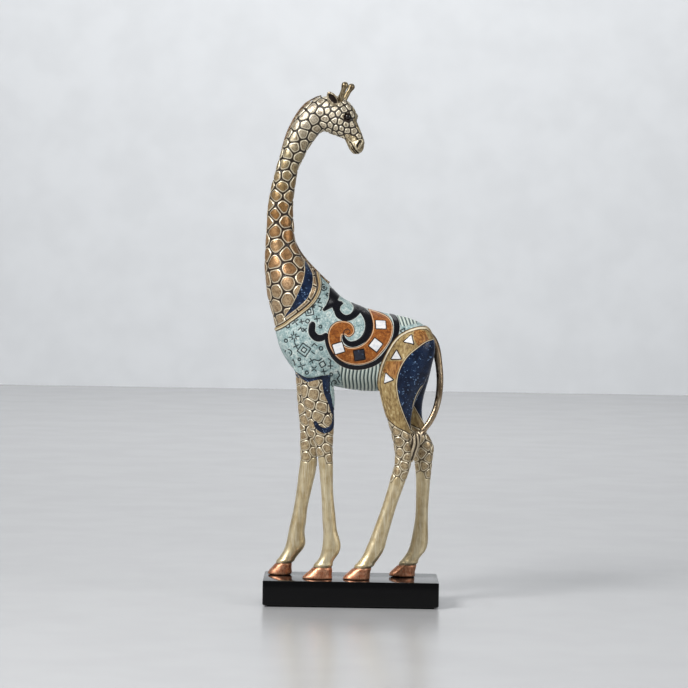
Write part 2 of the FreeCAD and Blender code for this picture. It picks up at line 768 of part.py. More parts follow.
# After the twist of the neck the head's right side is on -Y.
HEAD_SIDES = (("right", -1), ("left", 1))
horns = {side: horn(f"ossicone_{side}", y) for side, y in HEAD_SIDES}
ears = {side: ear(f"ear_{side}", y) for side, y in HEAD_SIDES}
eyes = {side: eye(f"eye_{side}", y) for side, y in HEAD_SIDES}

head_tools = fuse_all("head_tools", [neck_blank, head_dowel, *horns.values(), *ears.values(), *eyes.values()])
head = boolean("Cut", "head", head_blank, head_tools)
neck_tools = fuse_all("neck_tools", [neck_dowel, head_dowel])
neck = boolean("Cut", "neck", neck_blank, neck_tools)
mane = boolean("Cut", "mane", mane_on_neck, head_blank)
doc.recompute()


# ---------------------------------------------------------------- pearl chips let into the flanks

# Chips on the spiral as (x, z, turn in degrees), and on the thigh as (x, z, turn in degrees).
SQUARE_CHIPS = [(-14, 228, 18), (22.8, 248.9, -2), (18.5, 231.3, -37)]
BLUE_CHIP = (4.3, 222.3, 10)
TRIANGLE_CHIPS = [(48.2, 235.9, -12), (36.8, 221.8, 0), (29.5, 201.7, 21)]
FLANK_REACH = 60


def skin_at(x, z, side):
    """The point of the torso's skin that is furthest out at (x, z), and the skin's outward normal."""
    ray = Part.makeLine(Vector(x, side * FLANK_REACH, z), Vector(x, 0, z))
    hits = [v.Point for v in torso_blank.Shape.common(ray).Vertexes]
    point = max(hits, key=lambda p: side * p.y)
    step = 1.5
    sides = []
    for dx, dz in ((step, 0), (0, step)):
        pair = []
        for sign in (-1, 1):
            probe = Part.makeLine(
                Vector(x + sign * dx, side * FLANK_REACH, z + sign * dz),
                Vector(x + sign * dx, 0, z + sign * dz),
            )
            found = [v.Point for v in torso_blank.Shape.common(probe).Vertexes]
            pair.append(max(found, key=lambda p: side * p.y))
        sides.append(pair[1] - pair[0])
    normal = sides[0].cross(sides[1]).normalize()
    return point, normal if normal.y * side > 0 else normal * -1


def seat(solid, x, z, degrees, side):
    """Lays a chip flat on the skin, sunk so that only chip_proud of it stands out."""
    point, normal = skin_at(x, z, side)
    upward = Vector(0, 0, 1)
    level = upward.cross(normal).normalize()
    turn = FreeCAD.Rotation(level, normal.cross(level), normal, "ZXY")
    spin = FreeCAD.Rotation(Vector(0, 0, 1), degrees * -side)
    base = point - normal * (dim("chip_thick") - dim("chip_proud"))
    solid.Placement = FreeCAD.Placement(base, turn.multiply(spin))
    return solid


def square_chip(name, x, z, degrees, side):
    body = body_called(name)
    sketch = sketch_in(body, f"{name}_outline")
    rectangle(sketch, dim("chip_side"), dim("chip_side"), "dims.chip_side * 1 mm", "dims.chip_side * 1 mm")
    pad = body.newObject("PartDesign::Pad", f"{name}_pad")
    pad.Profile = sketch
    pad.setExpression("Length", "dims.chip_thick * 1 mm")
    return seat(body, x, z, degrees, side)


def triangle_chip(name, x, z, degrees, side):
    chip = doc.addObject("Part::Prism", name)
    chip.Polygon = 3
    chip.setExpression("Circumradius", "dims.triangle_side / sqrt(3) * 1 mm")
    chip.setExpression("Height", "dims.chip_thick * 1 mm")
    return seat(chip, x, z, degrees + 90, side)


chip_groups = []
for side_name, side in (("left", -1), ("right", 1)):
    squares = [square_chip(f"square_{side_name}_{i}", *spot, side) for i, spot in enumerate(SQUARE_CHIPS)]
    triangles = [
        triangle_chip(f"triangle_{side_name}_{i}", *spot, side) for i, spot in enumerate(TRIANGLE_CHIPS)
    ]
    blue = square_chip(f"{side_name}_blue_inlay", *BLUE_CHIP, side)
    chip_groups += [
        group_of(f"{side_name}_square_inlays", squares),
        group_of(f"{side_name}_triangle_inlays", triangles),
        blue,
    ]


# ---------------------------------------------------------------- the torso's sockets, and the legs' bores

torso_tools = fuse_all(
    "torso_tools", [*leg_blanks.values(), *rods.values(), neck_dowel, tail_whole, *chip_groups]
)
torso = boolean("Cut", "torso", torso_blank, torso_tools)
for name in LEGS:
    bored = boolean("Cut", name, leg_blanks[name], rods[name])
    bored.Label = name
doc.recompute()

NODES = [
    "plinth", "felt_sheet", "rod_washers", "rod_nuts",
    *LEGS, *(f"{name}_rod" for name in LEGS),
    "torso", "neck", "head", "mane", "neck_dowel", "head_dowel", "tail",
    "ear_left", "ear_right", "ossicone_left", "ossicone_right", "eye_left", "eye_right",
    *(f"{side}_square_inlays" for side in ("left", "right")),
    *(f"{side}_triangle_inlays" for side in ("left", "right")),
    *(f"{side}_blue_inlay" for side in ("left", "right")),
]


def check_and_write():
    failed = [o.Name for o in doc.Objects if "Invalid" in o.State or "Error" in o.State]
    if failed:
        raise RuntimeError(f"these objects failed to recompute: {failed}")
    os.makedirs("parts", exist_ok=True)
    for label in NODES:
        found = doc.getObjectsByLabel(label)[0]
        shape = found.Shape
        if shape.isNull() or not shape.isValid() or not shape.Solids:
            raise RuntimeError(f"{label} has no valid solid")
        print(f"{label:24s} {len(shape.Solids)} solid(s), {shape.Volume / 1000:8.2f} cm3")
        shape.exportStep(f"parts/{label}.step")


check_and_write()
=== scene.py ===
# %% [markdown]
# # A painted giraffe statuette, from plain castings to relief and enamel
# The figure is a set of resin castings on a gloss-black plinth. The plain shapes and the sizes come from
# the fixed frame. This lesson turns them into what the maker would finish by hand: raised cells on the
# hide, a spiral band with let-in pearl chips on each flank, engraved marks, metallic paint and a lacquered
# block.

# %% Load the fixed frame
import json
import math

import bpy
import numpy as np
from mathutils import Euler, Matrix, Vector
from mathutils.bvhtree import BVHTree

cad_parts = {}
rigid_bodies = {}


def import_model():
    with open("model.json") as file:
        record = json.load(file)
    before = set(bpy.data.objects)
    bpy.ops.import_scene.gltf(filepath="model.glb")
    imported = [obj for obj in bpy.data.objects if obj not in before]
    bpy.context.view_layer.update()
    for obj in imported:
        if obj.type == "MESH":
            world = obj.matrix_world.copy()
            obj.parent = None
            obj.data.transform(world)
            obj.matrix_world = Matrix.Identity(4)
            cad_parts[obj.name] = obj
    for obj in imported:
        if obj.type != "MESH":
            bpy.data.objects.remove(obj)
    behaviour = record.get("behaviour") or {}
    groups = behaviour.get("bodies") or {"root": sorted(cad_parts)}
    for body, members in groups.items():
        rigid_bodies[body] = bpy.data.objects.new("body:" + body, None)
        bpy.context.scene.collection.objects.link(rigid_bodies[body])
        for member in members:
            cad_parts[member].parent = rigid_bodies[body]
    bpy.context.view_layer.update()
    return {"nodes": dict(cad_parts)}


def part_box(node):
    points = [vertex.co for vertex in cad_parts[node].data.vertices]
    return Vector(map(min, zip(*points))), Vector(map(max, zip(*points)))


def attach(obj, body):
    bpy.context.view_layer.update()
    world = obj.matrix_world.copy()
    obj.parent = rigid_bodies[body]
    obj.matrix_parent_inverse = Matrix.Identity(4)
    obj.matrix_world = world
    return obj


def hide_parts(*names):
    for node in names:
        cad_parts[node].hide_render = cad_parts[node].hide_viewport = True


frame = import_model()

MM = 0.001
rng = np.random.default_rng(7)
print("nodes:", ", ".join(sorted(frame["nodes"])))

# %% [markdown]
# ## Small tools
# Every piece starts either from a primitive or from a copy of a casting in the frame, and is worked on with
# modifiers that are applied at once. Points are handled as one array in millimetres, so that a carved line
# or a raised rim is a single sum over all of them.

# %% Tools for pieces


def select_only(*pieces):
    if bpy.context.mode != "OBJECT":
        bpy.ops.object.mode_set(mode="OBJECT")
    bpy.ops.object.select_all(action="DESELECT")
    for piece in pieces:
        piece.select_set(True)
    bpy.context.view_layer.objects.active = pieces[-1]


def modify(piece, kind, **settings):
    """Adds a modifier, sets it and applies it."""
    select_only(piece)
    modifier = piece.modifiers.new(kind.title(), kind)
    for name, value in settings.items():
        setattr(modifier, name, value)
    bpy.ops.object.modifier_apply(modifier=modifier.name)


print("tools:", select_only.__name__, modify.__name__)

# %% [markdown]
# The points, their normals and the middles of the faces are read as arrays, and points are written back the
# same way. The numbers that the paint needs later, such as the distance from a drawn edge, are kept on the
# mesh point by point.

# %% Tools for points and faces


def points_of(piece):
    flat = np.empty(len(piece.data.vertices) * 3, np.float32)
    piece.data.vertices.foreach_get("co", flat)
    return flat.reshape(-1, 3).astype(float) / MM


def move_points(piece, points):
    piece.data.vertices.foreach_set("co", (points * MM).astype(np.float32).ravel())
    piece.data.update()


def normals_of(piece):
    flat = np.empty(len(piece.data.vertices) * 3, np.float32)
    piece.data.vertex_normals.foreach_get("vector", flat)
    return flat.reshape(-1, 3).astype(float)


def record(piece, name, values):
    """Keeps one number per point on the mesh, for the paint to read."""
    layer = piece.data.attributes.new(name, "FLOAT", "POINT")
    layer.data.foreach_set("value", np.asarray(values, np.float32))


def copy_of(name, *nodes):
    """One mesh from copies of the frame's castings, with the doubled points merged."""
    copies = []
    for node in nodes:
        piece = bpy.data.objects.new(name, frame["nodes"][node].data.copy())
        bpy.context.scene.collection.objects.link(piece)
        copies.append(piece)
    select_only(*copies)
    if len(copies) > 1:
        bpy.ops.object.join()
    piece = bpy.context.view_layer.objects.active
    piece.data.materials.clear()
    piece.name = name
    bpy.ops.object.mode_set(mode="EDIT")
    bpy.ops.mesh.select_all(action="SELECT")
    bpy.ops.mesh.remove_doubles(threshold=0.00001)
    bpy.ops.object.mode_set(mode="OBJECT")
    return piece


def select_faces(piece, chosen):
    """Selects the faces whose flags are set, and nothing else."""
    select_only(piece)
    bpy.ops.object.mode_set(mode="EDIT")
    bpy.ops.mesh.select_all(action="DESELECT")
    bpy.ops.mesh.select_mode(type="FACE")
    bpy.ops.object.mode_set(mode="OBJECT")
    piece.data.polygons.foreach_set("select", np.asarray(chosen, bool))
    bpy.ops.object.mode_set(mode="EDIT")


def face_centres(piece):
    flat = np.empty(len(piece.data.polygons) * 3, np.float32)
    piece.data.polygons.foreach_get("center", flat)
    return flat.reshape(-1, 3).astype(float) / MM


def triangle_count(piece):
    return sum(len(p.vertices) - 2 for p in piece.data.polygons)


print("tools:", points_of.__name__, move_points.__name__, record.__name__, copy_of.__name__,
      select_faces.__name__)

# %% [markdown]
# ## Flat drawing
# The decoration is drawn like a stencil on the flank, in millimetres fore-and-aft and upright. Each shape
# gives every point its distance from the shape's edge, less than zero inside. Distances stay smooth between
# points, so an edge painted from them is sharp even where the mesh is coarser than the line.

# %% Tools for drawing shapes as distances


def flowing(corners, steps=5):
    """A smooth line through the corners (Catmull-Rom). Corners may carry a half width as a third number."""
    p = np.array(corners, float)
    p = np.vstack([2 * p[0] - p[1], p, 2 * p[-1] - p[-2]])
    out = []
    for a, b, c, d in zip(p, p[1:], p[2:], p[3:]):
        bend, twist = 2 * a - 5 * b + 4 * c - d, 3 * b - a - 3 * c + d
        for t in np.arange(steps) / steps:
            out.append(0.5 * (2 * b + (c - a) * t + bend * t**2 + twist * t**3))
    return np.array(out + [p[-2]])


def stroke(x, z, corners, half=None):
    """Distance from a line with a width: one half width for all of it, or one per corner."""
    corners = np.asarray(corners, float)
    best = np.full(len(x), 1e3)
    for a, b in zip(corners, corners[1:]):
        dx, dz = b[0] - a[0], b[1] - a[1]
        t = np.clip(((x - a[0]) * dx + (z - a[1]) * dz) / max(dx * dx + dz * dz, 1e-9), 0, 1)
        wide = half if half is not None else a[2] + (b[2] - a[2]) * t
        best = np.minimum(best, np.hypot(x - a[0] - t * dx, z - a[1] - t * dz) - wide)
    return best


def area(x, z, corners):
    """Distance from a closed outline, less than zero inside it."""
    corners = np.asarray(corners, float)[:, :2]
    closed = np.vstack([corners, corners[:1]])
    inside = np.zeros(len(x), bool)
    for (ax, az), (bx, bz) in zip(closed, closed[1:]):
        crosses = (az > z) != (bz > z)
        inside ^= crosses & (x < (bx - ax) * (z - az) / (bz - az + 1e-12) + ax)
    edge = stroke(x, z, closed, 0)
    return np.where(inside, -edge, edge)


def ramp(value, low, high):
    """0 below low, 1 above high, smooth between."""
    t = np.clip((value - low) / (high - low), 0, 1)
    return t * t * (3 - 2 * t)


middle_of_square = area(np.zeros(1), np.zeros(1), [(-2, -2), (2, -2), (2, 2), (-2, 2)])[0]
print("the middle of a 4 mm square lies", middle_of_square, "mm from its edge")

# %% [markdown]
# ## One figure out of seven castings
# Torso, neck, head and legs are joined, and the joints are closed by rebuilding the skin as an even grid.
# That is the job that filler and sanding do on the real castings. Rods, pins and chips go in as well, so
# that their holes don't show in the skin. Whatever of the rods hangs below the hooves is cut off level with
# the plinth's top.

# %% Join and skin the castings
LEGS = ["foreleg_left", "foreleg_right", "hindleg_left", "hindleg_right"]
CHIP_KINDS = ("square_inlays", "triangle_inlays", "blue_inlay")
CHIPS = [f"{side}_{kind}" for side in ("left", "right") for kind in CHIP_KINDS]
HARDWARE = [*(f"{leg}_rod" for leg in LEGS), "neck_dowel", "head_dowel"]
PLINTH_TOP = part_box("plinth")[1].z / MM
GRID = 0.69

figure = copy_of("figure", "torso", "neck", "head", *LEGS, *HARDWARE, *CHIPS)
modify(figure, "REMESH", mode="VOXEL", voxel_size=GRID * MM)
select_only(figure)
bpy.ops.object.mode_set(mode="EDIT")
bpy.ops.mesh.select_all(action="SELECT")
bpy.ops.mesh.bisect(
    plane_co=(0, 0, PLINTH_TOP * MM), plane_no=(0, 0, 1), clear_inner=True, use_fill=True, threshold=1e-7
)
bpy.ops.object.mode_set(mode="OBJECT")
modify(figure, "SMOOTH", factor=0.5, iterations=8)
print("figure:", len(figure.data.vertices), "points")

# %% [markdown]
# The creases where the shoulders and haunches meet the barrel are eased much more than the rest, because a
# modeller would blend these muscles with a thumb. The head gets a finer grid: it has the smallest features.

# %% Ease the creases, refine the head


def ease(piece, weights, iterations):
    group = piece.vertex_groups.new(name="ease")
    levels = np.round(weights * 10).astype(int)
    for level in range(1, 11):
        chosen = np.flatnonzero(levels == level)
        if len(chosen):
            group.add(chosen.tolist(), level / 10, "REPLACE")
    modify(piece, "SMOOTH", factor=0.5, iterations=iterations, vertex_group="ease")
    piece.vertex_groups.clear()


def creases(points):
    """1 around the shoulder and haunch creases and under the withers, 0 elsewhere."""
    x, y, z = points.T
    shoulder = ramp(z, 205, 215) * (1 - ramp(z, 262, 276)) * ramp(x, -70, -60) * (1 - ramp(x, -14, -6))
    haunch = ramp(z, 176, 192) * ramp(x, 14, 24)
    withers = ramp(z, 240, 255) * (1 - ramp(z, 305, 318)) * ramp(x, -60, -45)
    legs = ramp(z, 150, 157) * (1 - ramp(z, 158, 166)) + ramp(z, 196, 201) * (1 - ramp(z, 206, 212))
    return np.clip(np.maximum.reduce([shoulder, haunch, withers, legs * 0.7]), 0, 1)


ease(figure, creases(points_of(figure)), 40)
HEAD_FROM = 400
middles = face_centres(figure)
select_faces(figure, (middles[:, 2] > HEAD_FROM) & (middles[:, 0] > -33))
bpy.ops.mesh.subdivide(number_cuts=1, smoothness=1.0)
bpy.ops.object.mode_set(mode="OBJECT")
print("figure with a finer head:", len(figure.data.vertices), "points")

# %% [markdown]
# ## The stencil
# Both flanks carry the same drawing. On the right side the legs stand a little further back or forward than
# on the left, so the drawing is slid along with them there.

# %% Slide the drawing with the legs, then lay out the zones
skin, out = points_of(figure), normals_of(figure)
x, y, z = skin.T
right = y > 0
fore_slide = np.where(right & (x < 0), np.interp(z, [190, 215, 235], [5.0, 4.0, 0.0]), 0)
HIND_HEIGHTS = [156, 163, 173, 184, 197, 213, 228, 242]
HIND_SLIDES = [-15, -14, -12.5, -10, -7, -5, -3, 0]
hind_slide = np.where(right & (x > 5), np.interp(z, HIND_HEIGHTS, HIND_SLIDES), 0)
u, v = x + fore_slide + hind_slide, z
outward = out[:, 1] * np.sign(y)

COLLAR = flowing(
    [(-48, 326), (-44.6, 315), (-38.6, 303.6), (-34.4, 290.4), (-33, 280.4), (-37.2, 270.3), (-45.3, 262),
     (-57.6, 252.4), (-66, 246.5), (-84, 238)]
)
collar = area(u, v, np.vstack([COLLAR, [(-120, 238), (-120, 470), (20, 470), (20, 380), (-44, 380)]]))
CRESCENT = np.vstack([
    flowing([(-45.3, 305.3), (-39.4, 295.4), (-37.6, 287.9), (-39.4, 276.8), (-46, 266.8), (-63.5, 252.4)]),
    flowing([(-63.5, 252.4), (-54.6, 266.3), (-47.4, 282.7), (-44.6, 294), (-45.3, 305.3)]),
])
crescent = area(u, v, CRESCENT)
ARMHOLE = np.vstack([
    flowing([(-74, 216), (-63, 213), (-53.3, 207.4), (-40.6, 201.2), (-28.1, 203.4), (-20.6, 203.8)]),
    flowing([(-20.6, 203.8), (-21, 191.2), (-19, 181.2), (-17.3, 171), (-10, 160)]),
    [(-2, 150), (-2, 20), (-90, 20), (-90, 216)],
])
foreleg = area(u, v, ARMHOLE)
STIFLE = [(15, 175), (24, 171), (37, 160), (50, 153.5), (64, 160), (80, 166), (80, 10), (-14, 10), (-14, 150)]
hindleg = area(u, v, STIFLE)
for name, shape in dict(neck=collar, forelegs=foreleg, hindlegs=hindleg).items():
    print(name, "cover", int((shape < 0).sum()), "points")

# %% [markdown]
# The flank's spiral is one orange band that winds in to a curl. It is drawn as a closed outline and not as
# a line with a width, because it swells and narrows as it turns.

# %% Draw the orange spiral
BAND_OUTSIDE = flowing(
    [(11.2, 262.8), (22.5, 259.3), (30.1, 255.1), (33.6, 247.6), (32.6, 238.8), (29, 231.2), (23.1, 223.6),
     (16.9, 217.4), (8.2, 214), (-0.6, 213.4), (-9.4, 215.7), (-15.8, 220), (-20.9, 226.9),
     (-23.2, 234.2), (-23.4, 241), (-21.3, 246.7), (-17, 250.6), (-11.3, 251.9), (-5, 250.8),
     (-1.1, 247.1), (-0.4, 242), (-2.9, 238.9), (-6, 237.9), (-8.6, 239.6)]
)
BAND_INSIDE = flowing(
    [(-11.2, 239.4), (-11.6, 235), (-9.7, 231.2), (-4.6, 228.8), (2.9, 229.6), (9.1, 233.4), (14, 239.8),
     (15.8, 247.3), (14.6, 254.8), (11.2, 262.8)]
)
orange = area(u, v, np.vstack([BAND_OUTSIDE, BAND_INSIDE]))
CURL = flowing([(-10, 239.6), (-9.6, 242.4), (-7.4, 244.7), (-4.7, 243.9), (-4.4, 241.6), (-6.2, 241)])
curl = stroke(u, v, CURL, 0.42)
print("orange covers", int((orange < 0).sum()), "points")

# %% [markdown]
# Black scrolls border the band. The outer one is a line whose width changes from corner to corner, as a
# brush leaves it. The inner one, the C below the withers and the leafed shape above it are closed outlines.

# %% Draw the black scrolls
INNER_BLACK = np.vstack([
    flowing([(-5.1, 269.4), (-0.3, 266.8), (5.4, 264.9), (11.1, 261), (14.3, 256), (16, 248.5), (14.5, 241),
             (10.2, 234.6), (2.8, 230.1), (-3.5, 229.2), (-9.2, 232.3), (-11.1, 236.8), (-10.6, 239.9)]),
    flowing([(-9.3, 240), (-7.7, 236.8), (-4.2, 234.3), (1.4, 235.2), (6.2, 239.3), (8.8, 245.9),
             (8.2, 252.8),
             (4.2, 259.3), (0.4, 262.7), (-1.6, 265.2)]),
])
OUTER_BLACK = flowing(
    [(-37.4, 248.2, 2.8), (-37.6, 241.6, 3.1), (-33.8, 237, 3.2), (-28.8, 236.8, 2.8), (-25, 239.6, 1.6),
     (-24.7, 234, 1.4), (-22.4, 227.6, 1.8), (-17.7, 219.8, 2), (-10, 213.6, 2), (-0.6, 211.1, 2),
     (8.2, 211.6, 2), (17.9, 215.2, 2.1), (25.6, 221.5, 2.3), (31.6, 230, 2.4), (35.6, 238.8, 2.4),
     (36.9, 247.7, 2.6), (35, 254.8, 2.2), (29.5, 259.6, 0.5)]
)
C_CURVE = np.vstack([
    flowing([(-19.3, 262.6), (-17.1, 256.2), (-13.3, 252.9), (-8.2, 251.6), (-2, 252.9), (3, 256.9),
             (5.1, 260.1)]),
    flowing([(-3.6, 266.9), (-1.9, 265.2), (-1.5, 262), (-3.9, 258.4), (-7.7, 257.1), (-10.8, 258.3),
             (-13.2, 261.2),
             (-13.5, 264.4)]),
])
FLEUR = [
    (-22.4, 280.6), (-19.6, 279.2), (-14.1, 273.3), (-15.9, 269.9), (-14.3, 268.8), (-11.8, 268.5),
    (-10.8, 266.8), (-13.2, 264.4), (-13.7, 261.7), (-18.9, 260.6), (-19.9, 263.8), (-27.2, 260.2),
    (-28.5, 261.6), (-25.4, 265.3), (-23, 271),
]
black = np.minimum.reduce([
    area(u, v, INNER_BLACK), stroke(u, v, OUTER_BLACK), area(u, v, C_CURVE), area(u, v, FLEUR) - 0.3
])
black = np.maximum(black, -orange - 0.05)
print("black covers", int((black < 0).sum()), "points")

# %% [markdown]
# The thigh has a gold panel with a navy leaf on it. The leaf runs on over the rear of the thigh, and one
# cream line on its outer side is a painted highlight along the rear outline. Two fields of the panel are amber.

# %% Draw the thigh's panel and leaf
LEAF_FRONT = [
    (70, 236.5), (63, 234.3), (55.6, 229.1), (46.9, 221.5), (40.8, 211.3), (37.9, 200), (38.7, 188.7),
    (42.7, 174.9), (50.2, 157.4),
]
LEAF_REAR = [(50.2, 157.4), (51.2, 166), (52.6, 178), (55.6, 188), (61, 196), (72, 201), (90, 204)]
PANEL_FRONT = [
    (64, 247.5), (55.3, 247.3), (42.8, 242.7), (34.2, 235.1), (26.8, 222.4), (22.6, 211), (20.8, 198.5),
    (22.6, 185.9), (26, 172), (31, 160),
]
leaf = area(u, v, np.vstack([[(90, 236.5)], flowing(LEAF_FRONT), [(90, 150)]]))
# A cream line along the thigh's rear edge, on its outer side only: a painted highlight where that edge catches
# the light.
leaf_line = stroke(u, v, flowing(LEAF_REAR), 0) + 9 * (1 - ramp(outward, 0.15, 0.45))
panel = area(u, v, np.vstack([flowing(PANEL_FRONT), [(36, 140), (90, 140), (90, 226), (74, 240)]]))
AMBER = [
    [(28, 217.2), (43.7, 217.5), (37, 201.3), (25.2, 207.7)],
    [(52, 246.2), (62, 243.9), (66, 235.3), (56.4, 230.1), (51.8, 237.3)],
]
amber = np.minimum.reduce([area(u, v, corners) for corners in AMBER])
print("panel covers", int((panel < 0).sum()), "points, the leaf", int((leaf < 0).sum()))

# %% [markdown]
# The foreleg has a navy garter round its top that runs down the rear edge of the leg and ends in a hook.
# The band is an outline and the hook a line that swells in its bend.

# %% Draw the foreleg's garter
GARTER = np.vstack([
    flowing([(-52, 207.6), (-46, 203.6), (-40.6, 201.4), (-28.1, 203.6), (-20.8, 204)]),
    flowing([(-20.8, 204), (-21.2, 191.2), (-19.2, 181.2), (-16, 166)]),
    flowing([(-19.6, 170), (-22, 178), (-26, 187), (-27.6, 194), (-28.4, 199.4), (-34, 199.2), (-41, 197.6),
             (-47, 200.8)]),
])
HOOK = flowing(
    [(-33.4, 161.6, 1.7), (-31, 157.6, 2.1), (-25.4, 154.8, 2.4), (-20.4, 156.6, 2.2), (-17.6, 161.6, 1.5),
     (-17.6, 170, 0.8)]
)
garter = np.minimum(area(u, v, GARTER), stroke(u, v, HOOK))
print("the garter covers", int((garter < 0).sum()), "points")

# %% [markdown]
# Thin marks are engraved on the teal ground: squares in squares, crosses, rings and small spirals. A few
# calls draw each kind, so the list below reads as where a mark is and how large.

# %% Draw the engraved marks


def ring(cx, cz, radius):
    a = np.linspace(0, 2 * math.pi, 17)
    return np.stack([cx + radius * np.cos(a), cz + radius * np.sin(a)], 1)


def spiral(cx, cz, radius, turns=1.9, start=0.0):
    a = np.linspace(0.35, 2 * math.pi * turns, 26)
    r = radius * a / a[-1]
    return np.stack([cx + r * np.cos(a + start), cz + r * np.sin(a + start)], 1)


def turned(cx, cz, degrees, corners):
    c, s = math.cos(math.radians(degrees)), math.sin(math.radians(degrees))
    return np.array([(cx + c * a - s * b, cz + s * a + c * b) for a, b in corners])


def square(cx, cz, degrees, half):
    corners = [(-1, -1), (1, -1), (1, 1), (-1, 1), (-1, -1)]
    return turned(cx, cz, degrees, [(half * a, half * b) for a, b in corners])


def cross(cx, cz, degrees, reach, gap=0.9):
    return [turned(cx, cz, degrees + 90 * i, [(gap, 0), (reach, 0)]) for i in range(4)]


MARKS = [
    square(-40.2, 259.8, 12, 3.4), square(-40.2, 259.8, 12, 1.4),
    square(-44.3, 225.9, -34, 4.4), square(-44.3, 225.9, -34, 1.9),
    *cross(-52.6, 250.4, 38, 3.4), *cross(-53.4, 237.2, 8, 4.6, 1.6), *cross(-53.4, 237.2, 53, 3.2, 1.8),
    spiral(-57.8, 222.4, 4.2, 1.6), ring(-59.2, 246.6, 1.8),
    ring(-27.6, 281, 2.7), ring(-27.6, 281, 0.9),
    np.array([(-36.4, 274.4), (-32.6, 274.6), (-34.4, 271), (-30.6, 271.2), (-32.8, 267.4), (-29.6, 267.2)]),
    np.array([(-31.8, 264.4), (-28.6, 263.2), (-30.4, 260.6)]),
    *cross(-46.4, 211.6, 20, 3.2), *cross(-35.2, 209.4, 45, 2.8),
    square(-27.8, 213.4, 30, 2.2), *cross(-20.8, 211.8, 0, 2.2, 0.6), spiral(-17.2, 196.6, 3.8, 1.5, 2.6),
    np.array([(-34.6, 217.4), (-31, 216.4), (-28.4, 218.6)]), np.array([(-37.4, 224.4), (-35, 222.6)]),
    turned(42.6, 243.9, -32, [(-2.6, -1.6), (2.6, -1.6), (0, 2.6), (-2.6, -1.6)]),
    *cross(-44, 243.4, 45, 2.2, 0.6), ring(-48.4, 217.4, 1.2), ring(-60.6, 233.4, 1.4),
    *cross(-33.4, 253.4, 10, 2.4, 0.7), *cross(-46.8, 250.6, 15, 2.0, 0.5), ring(-30.2, 246.6, 1.3),
    ring(-41.6, 251.2, 1.7), *cross(-51.4, 229.2, 25, 2.4, 0.7), *cross(-37.4, 216.4, 30, 2.4, 0.8),
    square(-55.2, 213.6, 20, 2.4), ring(-41.6, 205.8, 1.4), ring(-29.4, 227.4, 1.6),
    np.array([(-49.8, 243.2), (-47.4, 245.6), (-46.2, 242.4)]),
    np.array([(-33, 229.6), (-35.4, 231.8), (-37.4, 229.4)]),
    *cross(-26.6, 207, 10, 2.2, 0.6), np.array([(-22.8, 218.6), (-20.4, 216.6), (-21.6, 214.6)]),
    np.array([(-14.4, 207.2), (-12.6, 203.4), (-14.8, 200.4), (-12.8, 197)]), ring(-20.2, 204.4, 1.3),
    *cross(-36.6, 264.4, 30, 1.8, 0.5), ring(-24.2, 274.6, 1.1),
]
sideways = 6 * (1 - ramp(np.abs(out[:, 1]), 0.28, 0.45))
ink = np.minimum.reduce([stroke(u, v, mark, 0) for mark in MARKS]) + sideways
print(len(MARKS), "lines of marks")

# %% [markdown]
# Under the spiral the belly has upright pleats. On the rump the pleats bend round the spiral, so there they
# are cut at even distances from a centre on the flank.

# %% Draw the pleats
PLEATED_BELLY = [(-13.4, 213), (-10.6, 196), (-6, 186), (17, 186), (22, 198), (24.4, 216), (8, 212.6)]
PLEATED_RUMP = [(36, 262), (39.2, 250), (42, 247.6), (55, 250.4), (58, 262)]
belly = area(u, v, PLEATED_BELLY)
rump = area(u, v, PLEATED_RUMP)
upright = (u + 0.4 * np.sin(v * 0.35)) / 3.3
curved = np.hypot(u - 2, v - 238) / 2.9
pleat = np.sin(2 * math.pi * np.where(belly < rump, upright, curved))
for name, shape in dict(belly=belly, rump=rump).items():
    print(name, "pleats cover", int((shape < 0).sum()), "points")

# %% [markdown]
# ## Cells on the hide
# A giraffe's hide is a pattern of rounded plates with dark seams between them. The plates are laid out as a
# maker would press them in by eye: centres at an even spacing, nudged a little towards the middle of what
# each one covers. A plate's edge is the line that is equally far from two centres.

# %% Choose the plates' spacing
SPACING_HEIGHTS = [20, 128, 165, 200, 240, 300, 345, 395, 412, 425]
SPACING = [7.4, 8.0, 9.6, 10.4, 14.5, 12.6, 11.0, 9.6, 8.4, 8.0]


def spacing_at(points):
    """How far apart plates are: wide on the chest, small on the cheeks and the hocks."""
    x, y, z = points.T
    usual = np.interp(z, SPACING_HEIGHTS, SPACING)
    on_head = ramp(x, -34, -22) * (z > 396)
    return usual * (1 - on_head) + 5.4 * on_head


print("spacing at the foot of the neck:", spacing_at(np.array([[-50.0, -20.0, 260.0]]))[0].round(1), "mm")

# %% [markdown]
# Centres are picked at random, each at least a spacing away from those before it. Then every centre moves
# to the middle of the points that it owns, twice over, which rounds the plates and evens them out.

# %% Scatter the plates' centres


def scatter(points, spacing):
    """Takes points in random order, and keeps each one that is far enough from all those kept so far."""
    kept = np.empty((4000, 3))
    count = 0
    for i in rng.permutation(len(points)):
        if count and np.min(np.sum((kept[:count] - points[i]) ** 2, 1)) < (spacing[i] * 0.86) ** 2:
            continue
        kept[count] = points[i]
        count += 1
    return kept[:count]


def nearest(points, centres, how_many):
    """Squared distances to the nearest centres, and which ones they are."""
    squares = np.empty((len(points), how_many))
    which = np.empty((len(points), how_many), int)
    for start in range(0, len(points), 8000):
        part = points[start : start + 8000]
        gaps = np.sum(part**2, 1)[:, None] - 2 * part @ centres.T + np.sum(centres**2, 1)[None]
        order = np.argpartition(gaps, how_many, axis=1)[:, :how_many]
        order = np.take_along_axis(order, np.argsort(np.take_along_axis(gaps, order, 1), 1), 1)
        which[start : start + 8000] = order
        squares[start : start + 8000] = np.take_along_axis(gaps, order, 1)
    return squares, which


